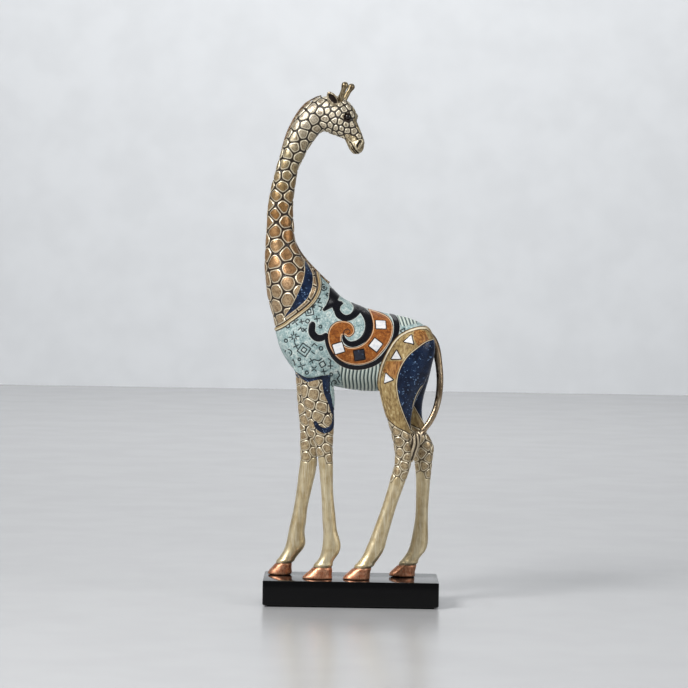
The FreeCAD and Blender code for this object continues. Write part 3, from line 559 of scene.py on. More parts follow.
hide = np.minimum.reduce([collar, foreleg, hindleg])
on_hide = hide < 3
centres = scatter(skin[on_hide], spacing_at(skin[on_hide]))
for _ in range(2):
    owner = nearest(skin[on_hide], centres, 1)[1][:, 0]
    total = np.stack([np.bincount(owner, skin[on_hide][:, k], len(centres)) for k in range(3)], 1)
    centres = total / np.maximum(np.bincount(owner, minlength=len(centres)), 1)[:, None]
print(len(centres), "plates")

# %% [markdown]
# On the legs the plates stop above the knees and below the hocks, where the gold is smooth. The muzzle and
# the ridge of the nose are smooth as well. A centre in such a place stays blank, and only a seam beside a
# real plate is cut.

# %% Measure each point's distance from its plate's edge
NEIGHBOURS = 7
HEAD_TURN = Euler((0, 0, math.radians(20))).to_matrix()
PIVOT = np.array([-30.5, 0, 433.8])


def in_head(points):
    """Points as the head sees them before it is turned: its own middle plane is Y = 0."""
    return (points - PIVOT) @ np.array(HEAD_TURN).T + PIVOT


def is_plate(points):
    """Which centres carry a plate: on the neck, the upper legs and the hocks."""
    x, y, z = points.T
    front = x < 5
    stop = np.where(front, 127.0, 114.0) + 4 * np.sin(points[:, 0] * 1.3 + y)
    hx, hy, hz = in_head(points).T
    muzzle = (hz < 414) & (hx > -9) & (z > 380)
    nose_ridge = (hx > -6) & (z > 380) & (np.abs(hy) < 3.2)
    return (z > stop) & ~muzzle & ~nose_ridge


real = is_plate(centres)
squares, which = nearest(skin, centres, NEIGHBOURS)
own = which[:, 0]
soft = np.full(len(skin), 0.0)
roundness = 0.065 * spacing_at(skin)
for k in range(1, NEIGHBOURS):
    other = which[:, k]
    apart = np.linalg.norm(centres[own] - centres[other], axis=1)
    to_edge = (squares[:, k] - squares[:, 0]) / (2 * np.maximum(apart, 1e-6))
    counts = real[own] | real[other]
    soft += np.where(counts, np.exp(-to_edge / roundness), 0)
edge = np.where(soft > 1e-9, -roundness * np.log(np.maximum(soft, 1e-9)), 8.0)
edge = np.minimum(np.minimum(edge, 8.0), -hide - 0.4)
edge += 0.32 * (1 - ramp(z, 196, 215))
plate = np.where(real[own], 1.0, 0.0)
tone = rng.random(len(centres))[own]
print("plates that are real:", int(real.sum()))

# %% [markdown]
# The chips are let into the castings, so the skin is pressed back under each one and a little way round it.
# The gap is measured along the skin, from every nearby point to the closest chip.

# %% Measure the gap to the chips


def gap_to(nodes, reach=3.0):
    gap = np.full(len(skin), reach)
    for node in nodes:
        mesh = frame["nodes"][node].data
        tree = BVHTree.FromPolygons([v.co for v in mesh.vertices], [tuple(p.vertices) for p in mesh.polygons])
        low, high = (np.array(corner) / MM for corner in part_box(node))
        for i in np.flatnonzero(np.all((skin > low - reach) & (skin < high + reach), 1)):
            spot = np.array(tree.find_nearest(Vector(skin[i] * MM))[0]) / MM
            offset = skin[i] - spot
            offset -= offset.dot(out[i]) * out[i]
            gap[i] = min(gap[i], math.sqrt(offset.dot(offset)))
    return gap


chip_gap = gap_to(CHIPS)
print("points under or beside chips:", int((chip_gap < 1).sum()))

# %% [markdown]
# ## Relief
# Seams are cut in, plate rims stand proud, black bands and the collar's piping are raised, and the marks
# are engraved. Each depth is a real one for a painted casting of this size, from a tenth of a millimetre to
# a millimetre.

# %% Add up the relief
SEAM_DEPTH, RIM_HEIGHT, PLATE_SWELL = 0.55, 0.26, 0.42
BLACK_HEIGHT, ORANGE_HEIGHT, MARK_DEPTH, PLEAT_HEIGHT = 0.42, 0.18, 0.34, 0.34
PIPING_HEIGHT, CRESCENT_DEPTH, GARTER_HEIGHT, LEAF_DEPTH, CHIP_BED = 0.95, 0.30, 0.40, 0.22, 0.75

seam = 1 - ramp(edge, 0.15, 1.05)
rim = ramp(edge, 0.7, 1.25) * (1 - ramp(edge, 1.25, 2.1))
swell = ramp(edge, 0.6, 3.6)
zone = (hide < 0) * 1.0
small = np.interp(z, [110, 150, 380, 420], [0.8, 0.9, 1.0, 0.75])
cells_relief = -SEAM_DEPTH * seam * (edge < 7) + plate * (RIM_HEIGHT * rim + PLATE_SWELL * swell)
cells_relief *= zone * small

piping = np.clip(1 - (np.abs(collar - 1.5) / 1.5) ** 2, 0, 1) ** 0.5
shoulder_lip = 0.55 * (1 - ramp(foreleg, 0.2, 4.0)) * (foreleg > 0)
panel_rim = 0.35 * np.exp(-((panel + 0.6) / 0.55) ** 2) + 0.30 * np.exp(-((leaf - 0.5) / 0.5) ** 2)
off_hide = (hide > 0.3) * 1.0
flank_relief = off_hide * (
    BLACK_HEIGHT * (1 - ramp(black, -0.9, 0.1))
    + ORANGE_HEIGHT * (1 - ramp(orange, -0.8, 0.2))
    - MARK_DEPTH * (1 - ramp(ink, 0.3, 1.0)) * (black > 0.5)
    + PLEAT_HEIGHT * pleat * (1 - ramp(np.minimum(belly, rump), -1.6, 0.2)) * (black > 0.3)
    + panel_rim * (black > 0)
    + shoulder_lip
    - LEAF_DEPTH * (1 - ramp(leaf, -0.9, 0.1))
)
crescent_relief = -CRESCENT_DEPTH * (1 - ramp(crescent, -0.8, 0.2))
garter_relief = GARTER_HEIGHT * (1 - ramp(garter, -0.8, 0.2)) * (foreleg < 0.6)

relief = cells_relief * (1 - ramp(-crescent, -0.6, 0.2)) * (1 - ramp(-garter, -0.8, 0.1))
relief += flank_relief + PIPING_HEIGHT * piping * (z > 200) + crescent_relief + garter_relief
bedded = relief * ramp(chip_gap, 0.3, 1.0) - CHIP_BED * (1 - ramp(chip_gap, 0.2, 0.8))
relief = np.where(chip_gap < 1, bedded, relief)
print("relief from", round(float(relief.min()), 2), "to", round(float(relief.max()), 2), "mm")

# %% [markdown]
# The head's own features are pressed in on both sides of its middle plane: the hollow round the eye and the
# lid above it, the nostril, the line of the mouth, and the cheek.

# %% Press the head's features
hx, hy, hz = in_head(skin).T
near_head = (z > HEAD_FROM) & (x > -40)
EYE = np.array([-5.2, 7.4, 430.6])


def blob(cx, cz, radius):
    return np.exp(-((hx - cx) ** 2 + (hz - cz) ** 2) / radius**2)


socket = -0.9 * (np.exp(-(((hx - EYE[0]) / 5.4) ** 2 + ((hz - EYE[2]) / 4.2) ** 2)))
lid = 0.85 * np.exp(-((np.hypot((hx - EYE[0]) / 1.25, hz - EYE[2]) - 4.1) / 0.85) ** 2) * (hz > EYE[2] - 1)
nostril_gap = stroke(hx, hz, [(5.9, 409.8), (4.9, 407.8), (4.0, 405.8)], 0)
beside = np.abs(hy) > 1.3
nostril_rim = 0.45 * np.exp(-(((nostril_gap - 1.6) / 0.6) ** 2))
nostril = (nostril_rim - 0.8 * (1 - ramp(nostril_gap, 0.1, 0.9))) * beside
MOUTH = flowing([(5.2, 399.4), (3.2, 401.6), (1.0, 404.2), (-1.2, 407), (-3.4, 409)])
CHIN = flowing([(2.2, 399.8), (0.2, 402.6), (-1.8, 404.6)])
mouth_gap = np.minimum(stroke(hx, hz, MOUTH, 0), stroke(hx, hz, CHIN, 0) + 0.2)
mouth = -0.5 * (1 - ramp(mouth_gap, 0.1, 0.9))
face_ink = np.where(near_head & beside, np.minimum(mouth_gap, nostril_gap - 0.25), 9.0)
eye_paint = np.where(near_head, np.hypot((hx - EYE[0] - 0.3) / 0.86, hz - EYE[2] + 0.2) - 3.9, 9.0)
cheek = 0.7 * blob(-15, 423, 6.5) - 0.5 * blob(-2, 417, 4)
relief += near_head * (socket + lid + nostril + mouth + cheek)
print("points on the head:", int(near_head.sum()))

# %% [markdown]
# The hooves have a groove at the coronet, and a cleft at the toe. Each leg's hoof points forwards, to -X.
# After this the whole relief is applied at once, along the normals of the smooth skin.

# %% Cut the hooves and move the skin
HOOF_TOP, TOE_PUSH, MUZZLE_DROP = 33.5, 1.6, 1.4
hoof = ramp(HOOF_TOP - z, -0.4, 0.4)
coronet = -0.6 * np.exp(-(((z - HOOF_TOP) / 0.9) ** 2)) + 0.45 * np.exp(-(((z - HOOF_TOP - 2.2) / 1.5) ** 2))
cleft = -1.5 * np.exp(-(((np.abs(y) - 14) / 0.75) ** 2)) * ramp(HOOF_TOP - z, 0.0, 3.0) * (out[:, 0] < -0.35)
relief += np.where(z < 45, coronet + cleft, 0) * ramp(z, PLINTH_TOP, PLINTH_TOP + 1.0)

moved = skin + out * relief[:, None]
moved[:, 0] -= TOE_PUSH * ramp(HOOF_TOP - z, 1.0, 9.0) * ramp(-out[:, 0], 0.1, 0.8) * (z < HOOF_TOP)
moved[:, 2] -= near_head * MUZZLE_DROP * ramp(413 - hz, 0, 12)
moved[:, 2] = np.maximum(moved[:, 2], PLINTH_TOP)
move_points(figure, moved)
print("moved by up to", round(float(np.abs(relief).max()), 2), "mm")

# %% [markdown]
# Every distance that the paint reads is kept on the points. The mesh is cut up later, and the numbers go
# with it.

# %% Keep the distances on the points
KEPT = dict(
    edge=edge, tone=tone, plate=plate, hide=hide, collar=collar, foreleg=foreleg, crescent=crescent,
    garter=garter, black=black, orange=orange, curl=curl, panel=panel, leaf=leaf, leaf_line=leaf_line,
    amber=amber, outward=outward, ink=ink, pleat=pleat, pleated=np.minimum(belly, rump), hoof=hoof,
    face=face_ink, eye=eye_paint, chip=chip_gap, coronet=np.where(z < 45, z - HOOF_TOP, 20.0),
)
for name, values in KEPT.items():
    record(figure, name, values)
print("kept:", ", ".join(KEPT))

# %% [markdown]
# ## Back to separate castings
# The skinned figure is parted where the castings meet: round the neck under the piping, behind the head,
# and across each leg's top. The cuts are closed, so each casting is a solid piece of its own.

# %% Part the figure
SHOULDER_CUT, THIGH_CUT = 188.5, 156.0


def part_off(source, name, chosen):
    """Separates the faces whose middles are chosen."""
    select_faces(source, chosen(face_centres(source)))
    before = set(bpy.data.objects)
    bpy.ops.mesh.separate(type="SELECTED")
    bpy.ops.object.mode_set(mode="OBJECT")
    piece = next(o for o in bpy.data.objects if o not in before)
    piece.name = name
    return piece


def close_openings(piece):
    select_only(piece)
    bpy.ops.object.mode_set(mode="EDIT")
    bpy.ops.mesh.select_mode(type="VERT")
    bpy.ops.mesh.select_all(action="SELECT")
    bpy.ops.mesh.fill_holes(sides=0)
    bpy.ops.mesh.select_all(action="DESELECT")
    bpy.ops.object.mode_set(mode="OBJECT")


def leg_faces(leg):
    """Tests which faces belong to a leg: below its cut, on its side, and before or behind the belly."""
    front, side = leg.startswith("fore"), -1 if leg.endswith("left") else 1

    def chosen(middles):
        x, y, z = middles.T
        between = np.where(z < 60, -8.0, 5.0)
        ahead = x < between
        return (z < (SHOULDER_CUT if front else THIGH_CUT)) & (side * y > 0) & (ahead if front else ~ahead)

    return chosen


pieces = {}
for leg in LEGS:
    pieces[leg] = part_off(figure, f"{leg}_painted", leg_faces(leg))
SEAM_CENTRE, SEAM_RADIUS = (-69.9, 284), 38.2
pieces["neck"] = part_off(
    figure,
    "neck_and_head_painted",
    lambda c: (np.hypot(c[:, 0] - SEAM_CENTRE[0], c[:, 2] - SEAM_CENTRE[1]) < SEAM_RADIUS) | (c[:, 2] > 297),
)
figure.name = "torso_painted"
pieces["torso"] = figure
for name, piece in pieces.items():
    close_openings(piece)
    select_only(piece)
    bpy.ops.object.shade_smooth_by_angle(angle=math.radians(50))
    print(f"{piece.name:28s}{triangle_count(piece):8d} triangles")

# %% [markdown]
# ## Mane, tail, ears and chips
# These are glued on or let in, so each stays a piece of its own. The mane is a stiff fringe along the crest
# of the neck. Fine notches run across it, spaced by how far along the crest a point lies. It is fuller at
# the withers and sinks into the neck at its upper end.

# %% Fringe the mane
CREST = flowing(
    [(-20, 282), (-33, 293), (-43, 303), (-53, 318), (-61, 338), (-66, 360), (-68, 380), (-66.5, 396),
     (-62.5, 412),
     (-55.5, 428.5), (-46, 441.8), (-31, 449.5)], 8
)


def run_along(x, z, line):
    """How far along the line the closest point of it lies, in millimetres."""
    steps = np.hypot(*np.diff(line[:, :2], axis=0).T)
    reach = np.concatenate([[0], np.cumsum(steps)])
    gaps = (x[:, None] - line[None, :, 0]) ** 2 + (z[:, None] - line[None, :, 1]) ** 2
    return reach[np.argmin(gaps, 1)], np.sqrt(gaps.min(1))


mane = copy_of("mane_painted", "mane")
modify(mane, "REMESH", mode="VOXEL", voxel_size=0.00036)
modify(mane, "SMOOTH", factor=0.5, iterations=3)
mane_skin, mane_out = points_of(mane), normals_of(mane)
dense = flowing(CREST[::6], 40)
length_along, _ = run_along(mane_skin[:, 0], mane_skin[:, 2], dense)
hair = np.sin(length_along * 2 * math.pi / 1.5 + 0.9 * np.sin(length_along * 0.9))
fuller = 0.7 * (1 - ramp(mane_skin[:, 2], 300, 335))
ends = 0.9 * ramp(length_along, length_along.max() - 9, length_along.max())
move_points(mane, mane_skin + mane_out * (fuller - ends + 0.16 * hair)[:, None])
record(mane, "hair", hair)
print("mane:", triangle_count(mane), "triangles")

# %% [markdown]
# The tail is a smooth cord of metal that ends in a tuft. The tuft swells, and its strands are waves that
# run round the tail's own middle line and twist a little on the way down.

# %% Draw the tail's strands
TUFT_TOP, TUFT_SWELL, STRAND_DEPTH, TUFT_LIFT = 153.0, 1.3, 0.5, 0.22

tail = copy_of("tail_painted", "tail")
modify(tail, "REMESH", mode="VOXEL", voxel_size=0.00042)
modify(tail, "SMOOTH", factor=0.5, iterations=4)
tail_skin, tail_out = points_of(tail), normals_of(tail)
tuft = 1 - ramp(tail_skin[:, 2], 150.5, 157)
turn = np.arctan2(tail_skin[:, 1] + 11, tail_skin[:, 0] - 52 - 0.2 * (tail_skin[:, 2] - 137))
strand = np.sin(turn * 9 + 0.16 * (tail_skin[:, 2] - 130) + 0.8 * np.sin(tail_skin[:, 2] * 0.3))
tail_skin += tail_out * ((TUFT_SWELL + STRAND_DEPTH * strand) * tuft)[:, None]
tail_skin[:, 2] += TUFT_LIFT * np.maximum(TUFT_TOP - tail_skin[:, 2], 0)
move_points(tail, tail_skin)
record(tail, "strand", strand * tuft)
record(tail, "tuft", tuft)
print("tail:", triangle_count(tail), "triangles")

# %% [markdown]
# Each ear is a leaf that is hollowed at the front. The hollow is pressed in only where the skin faces
# outwards.

# %% Hollow the ears
HOLLOW_DEPTH = 1.7

ears = {}
for side, sign in (("right", -1), ("left", 1)):
    ear = copy_of(f"ear_{side}_painted", f"ear_{side}")
    modify(ear, "REMESH", mode="VOXEL", voxel_size=0.0003)
    modify(ear, "SMOOTH", factor=0.5, iterations=4)
    ear_skin, ear_out = points_of(ear), normals_of(ear)
    ex, ey, ez = in_head(ear_skin).T
    lean = (ez - 442.0) / 0.83
    middle = -16.8 - 0.36 * lean + 1.2
    rise = (lean - 5.6) / 5.2
    opening = ramp(1 - (((ex - middle) / 3.5) ** 2 + (rise / 1.12) ** 2), 0.0, 0.6)
    facing = (sign * (in_head(ear_skin + ear_out)[:, 1] - ey) > 0.15) * 1.0
    move_points(ear, ear_skin - ear_out * (HOLLOW_DEPTH * opening * facing)[:, None])
    record(ear, "hollow", opening * facing)
    ears[side] = ear
print("ears:", *(triangle_count(e) for e in ears.values()), "triangles")

# %% [markdown]
# The chips are ground and polished, so their edges are barely broken. A small bevel catches the light as
# theirs do.

# %% Ease the chips' edges
chips = {}
for node in CHIPS:
    chip = copy_of(f"{node}_polished", node)
    modify(chip, "BEVEL", width=0.35 * MM, segments=3, limit_method="ANGLE", angle_limit=math.radians(40))
    select_only(chip)
    bpy.ops.object.shade_smooth_by_angle(angle=math.radians(25))
    chips[node] = chip
print(len(chips), "groups of chips")

# %% [markdown]
# ## Plinth
# The plinth is a lacquered block. It is made as a box at full size, then its upright edges, top edges and
# lower edges are rounded by different amounts, as sanding and lacquer leave them.

# %% Make the plinth
low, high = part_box("plinth")
bpy.ops.mesh.primitive_cube_add(size=1, location=(low + high) / 2, scale=high - low)
plinth = bpy.context.object
plinth.name = "plinth_lacquered"
bpy.ops.object.transform_apply(location=True, rotation=True, scale=True)


def round_edges(piece, test, radius, segments):
    """Bevels the edges whose middle and direction pass the test."""
    select_only(piece)
    bpy.ops.object.mode_set(mode="EDIT")
    bpy.ops.mesh.select_all(action="DESELECT")
    bpy.ops.mesh.select_mode(type="EDGE")
    bpy.ops.object.mode_set(mode="OBJECT")
    corners = [v.co for v in piece.data.vertices]
    for edge_ in piece.data.edges:
        a, b = (corners[i] for i in edge_.vertices)
        edge_.select = bool(test((a + b) / 2, (b - a).normalized()))
    bpy.ops.object.mode_set(mode="EDIT")
    bpy.ops.mesh.bevel(offset=radius * MM, segments=segments, affect="EDGES", clamp_overlap=True)
    bpy.ops.object.mode_set(mode="OBJECT")


round_edges(plinth, lambda middle, along_: abs(along_.z) > 0.9, 1.6, 5)
round_edges(plinth, lambda middle, along_: middle.z > high.z - 1e-5, 0.7, 4)
round_edges(plinth, lambda middle, along_: middle.z < low.z + 1e-5, 2.6, 6)
select_only(plinth)
bpy.ops.object.shade_smooth_by_angle(angle=math.radians(30))
print("plinth:", triangle_count(plinth), "triangles")

# %% [markdown]
# ## Paint
# All paint is mixed from the distances kept on the points. An edge between two colours is where a distance
# crosses zero, and a drawn line is where it lies close to a chosen value. A small kit of calls keeps each
# recipe readable.

# %% A kit for building paint recipes


class Recipe:
    """Adds shader nodes to a tree. Inputs may be numbers, colours or other nodes' outputs."""

    def __init__(self, tree):
        self.tree = tree

    def feed(self, socket, value):
        if isinstance(value, bpy.types.NodeSocket):
            self.tree.links.new(value, socket)
        elif isinstance(value, (tuple, list)) and len(value) == 3 and socket.type == "RGBA":
            socket.default_value = (*value, 1.0)
        else:
            socket.default_value = value

    def add(self, kind, inputs, output=0, **settings):
        node = self.tree.nodes.new(kind)
        for name, value in settings.items():
            setattr(node, name, value)
        for key, value in inputs.items():
            self.feed(node.inputs[key], value)
        return node.outputs[output]

    def calc(self, operation, *values, clamp=False):
        return self.add("ShaderNodeMath", dict(enumerate(values)), operation=operation, use_clamp=clamp)

    def kept(self, name):
        """A number kept on the points."""
        return self.add("ShaderNodeAttribute", {}, output="Fac", attribute_name=name)

    def place(self):
        """Where a point is, in millimetres."""
        spot = self.add("ShaderNodeTexCoord", {}, output="Object")
        return self.add("ShaderNodeVectorMath", {0: spot, "Scale": 1000.0}, operation="SCALE")

    def fade(self, value, low, high):
        """0 below low, 1 above high, smooth between."""
        return self.add(
            "ShaderNodeMapRange",
            {"Value": value, "From Min": low, "From Max": high},
            interpolation_type="SMOOTHSTEP",
            clamp=True,
        )

    def inside(self, distance, soft=0.16):
        return self.fade(distance, soft, -soft)

    def line(self, distance, at, half, soft=0.14):
        """1 where the distance is within half of at."""
        away = self.calc("ABSOLUTE", self.calc("SUBTRACT", distance, at))
        return self.fade(away, half + soft, half - soft)

    def mix(self, share, under, over):
        return self.add(
            "ShaderNodeMix", {"Factor": share, 6: under, 7: over}, output=2, data_type="RGBA",
            clamp_factor=True
        )

    def blend(self, share, under, over):
        """The same for plain numbers."""
        return self.add("ShaderNodeMix", {"Factor": share, 2: under, 3: over}, output=0, clamp_factor=True)

    def both(self, a, b):
        return self.calc("MULTIPLY", a, b)

    def rest(self, share):
        """What a share leaves over."""
        return self.calc("SUBTRACT", 1.0, share)

    def noise(self, scale, detail=3.0, stretch=None, roughness=0.55):
        """Noise whose scale is per millimetre; stretch multiplies each axis."""
        where = self.place()
        if stretch:
            where = self.add("ShaderNodeVectorMath", {0: where, 1: stretch}, operation="MULTIPLY")
        return self.add(
            "ShaderNodeTexNoise", {"Vector": where, "Scale": scale, "Detail": detail, "Roughness": roughness}
        )

    def stops(self, value, colours):
        """A colour ramp through (position, colour)."""
        node = self.tree.nodes.new("ShaderNodeValToRGB")
        ramp_ = node.color_ramp
        while len(ramp_.elements) < len(colours):
            ramp_.elements.new(0.5)
        for element, (position, colour) in zip(ramp_.elements, sorted(colours)):
            element.position = position
            element.color = (*colour, 1)
        self.feed(node.inputs[0], value)
        return node.outputs[0]

    def group(self, tree, output=0, **inputs):
        node = self.tree.nodes.new("ShaderNodeGroup")
        node.node_tree = tree
        for name, value in inputs.items():
            self.feed(node.inputs[name.replace("_", " ")], value)
        return node.outputs[output] if output is not None else node


print("a recipe can:", ", ".join(name for name in vars(Recipe) if name[0] != "_"))

# %% [markdown]
# A recipe ends up either as an effect that several materials share, which is a group of nodes with its own
# inputs and outputs, or as a material, whose values go to the shader's sockets.

# %% Turn recipes into effects and materials


def shared(name, inputs, outputs, build):
    """A node group: build(recipe, group inputs) returns one value per output."""
    tree = bpy.data.node_groups.new(name, "ShaderNodeTree")
    for label, kind, default in inputs:
        socket = tree.interface.new_socket(label, in_out="INPUT", socket_type=kind)
        socket.default_value = default
    for label, kind in outputs:
        tree.interface.new_socket(label, in_out="OUTPUT", socket_type=kind)
    recipe = Recipe(tree)
    entry = tree.nodes.new("NodeGroupInput")
    results = build(recipe, entry.outputs)
    leave = tree.nodes.new("NodeGroupOutput")
    for socket, value in zip(leave.inputs, results):
        recipe.feed(socket, value)
    return tree


def material(name, build):
    """A material whose build(recipe) returns the Principled shader's inputs."""
    made = bpy.data.materials.new(name)
    made.use_nodes = True
    recipe = Recipe(made.node_tree)
    shader = next(n for n in made.node_tree.nodes if n.type == "BSDF_PRINCIPLED")
    for key, value in build(recipe).items():
        recipe.feed(shader.inputs[key], value)
    return made


print("recipes become", shared.__name__, "effects and", material.__name__, "objects")

# %% [markdown]
# Two effects are shared. "Hand finish" is the slight unevenness of brushed paint over cast resin. "Antique
# gold" is metallic paint with a brown wash that was wiped off, so it stays in the low places.

# %% Shared effects
def hand_finish(r, given):
    grain = r.noise(1.6, 4.0)
    brushed = r.noise(0.5, 2.0)
    height = r.calc("ADD", r.both(grain, 0.6), brushed)
    bumps = {"Strength": given["Strength"], "Distance": 0.00025, "Height": height}
    return [r.add("ShaderNodeBump", bumps, output="Normal"), r.fade(grain, 0.3, 0.75)]


HAND_FINISH = shared(
    "Hand finish",
    [("Strength", "NodeSocketFloat", 0.35)],
    [("Normal", "NodeSocketVector"), ("Wear", "NodeSocketFloat")],
    hand_finish,
)


def antique_gold(r, given):
    cloud = r.noise(0.11, 3.0)
    streak = r.noise(1.0, 3.0, (1.0, 1.0, 0.07))
    warm = r.mix(r.fade(cloud, 0.35, 0.7), given["Colour"], given["Second colour"])
    lit = r.mix(r.both(r.fade(streak, 0.45, 0.72), 0.55), warm, given["Highlight"])
    washed = r.mix(r.both(given["Wash"], 0.85), lit, (0.045, 0.022, 0.010))
    rough = r.calc("ADD", 0.30, r.both(r.fade(streak, 0.3, 0.7), 0.16))
    return [washed, r.calc("ADD", rough, r.both(given["Wash"], 0.25))]


ANTIQUE_GOLD = shared(
    "Antique gold",
    [
        ("Colour", "NodeSocketColor", (0.47, 0.33, 0.15, 1)),
        ("Second colour", "NodeSocketColor", (0.36, 0.23, 0.09, 1)),
        ("Highlight", "NodeSocketColor", (0.72, 0.58, 0.34, 1)),
        ("Wash", "NodeSocketFloat", 0.0),
    ],
    [("Colour", "NodeSocketColor"), ("Roughness", "NodeSocketFloat")],
    antique_gold,
)
print("shared effects:", ", ".join(tree.name for tree in (HAND_FINISH, ANTIQUE_GOLD)))

# %% [markdown]
# ## The castings' paint
# First the colours of the flank: teal that is mottled and worn pale in places, burnt orange glaze, and navy
# lacquer with glitter in it. The same navy is used again for the chips and the garter.

# %% Mix teal, orange and navy
DARK_WASH = (0.012, 0.008, 0.006)
CREAM_LINE, UMBER_LINE, UMBER_SEAM = (0.72, 0.62, 0.42), (0.045, 0.024, 0.012), (0.045, 0.028, 0.018)


def teal_ground(r):
    """Mottled teal with pale worn patches, pleats and engraved marks."""
    mottled = r.stops(
        r.noise(0.30, 6.0, roughness=0.74),
        [(0.30, (0.085, 0.145, 0.150)), (0.42, (0.235, 0.345, 0.348)), (0.53, (0.390, 0.500, 0.490)),
         (0.66, (0.700, 0.750, 0.700))],
    )
    cracks = r.both(r.fade(r.noise(1.1, 5.0, roughness=0.7), 0.47, 0.38), 0.7)
    cracked = r.mix(cracks, mottled, (0.045, 0.075, 0.078))
    flecked = r.mix(r.both(r.fade(r.noise(1.7, 3.0), 0.57, 0.68), 0.5), cracked, (0.62, 0.68, 0.62))
    pleats = r.stops(
        r.calc("ADD", r.both(r.kept("pleat"), 0.5), 0.5),
        [(0.06, (0.018, 0.028, 0.030)), (0.24, (0.120, 0.170, 0.165)), (0.46, (0.38, 0.46, 0.43)),
         (0.90, (0.64, 0.70, 0.62))],
    )
    ground = r.mix(r.inside(r.kept("pleated"), 0.5), flecked, pleats)
    return r.mix(r.both(r.fade(r.kept("ink"), 0.72, 0.38), 0.94), ground, (0.010, 0.017, 0.019))


def orange_band(r, under):
    """Burnt orange glaze, speckled, with a cream line just inside both edges."""
    glaze = r.stops(
        r.noise(0.34, 6.0, roughness=0.72),
        [(0.30, (0.085, 0.022, 0.004)), (0.45, (0.240, 0.068, 0.009)), (0.57, (0.350, 0.115, 0.018)),
         (0.72, (0.52, 0.25, 0.080))],
    )
    speckled = r.mix(r.both(r.fade(r.noise(1.5, 4.0), 0.54, 0.64), 0.6), glaze, (0.05, 0.015, 0.006))
    band = r.mix(r.inside(r.kept("orange")), under, speckled)
    lined = r.mix(r.line(r.kept("orange"), -0.85, 0.26), band, (0.74, 0.52, 0.32))
    ringed = r.mix(r.both(r.line(r.kept("orange"), 0.02, 0.24), 0.85), lined, (0.035, 0.014, 0.008))
    return r.mix(r.inside(r.kept("curl")), ringed, (0.045, 0.016, 0.010))


def navy_glitter(r):
    """Navy lacquer with fine bright flakes."""
    spread = {"Vector": r.place(), "Scale": 1.05, "Randomness": 1.0}
    flakes = r.add("ShaderNodeTexVoronoi", spread, output="Color")
    pick = r.add("ShaderNodeSeparateColor", {0: flakes}, output=0)
    bright = r.both(r.fade(pick, 0.84, 0.99), r.fade(r.noise(0.18, 2.0), 0.44, 0.60))
    deep = r.mix(r.fade(r.noise(0.13, 3.0), 0.35, 0.65), (0.0035, 0.0080, 0.024), (0.0080, 0.0210, 0.058))
    return r.mix(r.both(bright, 0.8), deep, (0.20, 0.33, 0.55))


print("mixed:", teal_ground.__name__, orange_band.__name__, navy_glitter.__name__)

# %% [markdown]
# The thigh's panel is gold that was brushed along its length. The hide's smooth parts are champagne gold
# with a wash, and each plate is shaded from its middle to a pale rim, by its distance from the seam. The
# plates' colour changes with height: cream on the legs, orange-brown on the neck, ivory on the head.

# %% Mix the gold panel and the hide


def gold_panel(r):
    """Brushed gold with two amber fields and a cream strip along its front edge."""
    brushed = r.noise(0.9, 3.0, (0.5, 1.0, 0.22))
    gold = r.stops(
        brushed,
        [(0.30, (0.150, 0.092, 0.034)), (0.46, (0.300, 0.200, 0.080)), (0.60, (0.430, 0.315, 0.140)),
         (0.75, (0.64, 0.53, 0.31))],
    )
    amber = r.mix(r.fade(brushed, 0.35, 0.65), (0.17, 0.060, 0.014), (0.42, 0.20, 0.055))
    fields = r.mix(r.inside(r.kept("amber"), 0.5), gold, amber)
    height = r.add("ShaderNodeSeparateXYZ", {0: r.place()}, output="Z")
    upper = r.both(r.fade(height, 196.0, 206.0), r.fade(r.kept("outward"), 0.15, 0.45))
    strip = r.mix(r.both(r.line(r.kept("panel"), -1.25, 0.55), upper), fields, (0.74, 0.66, 0.50))
    beside = r.both(r.line(r.kept("panel"), -2.35, 0.22), r.fade(r.kept("outward"), 0.15, 0.45))
    return r.mix(beside, strip, (0.055, 0.030, 0.016))


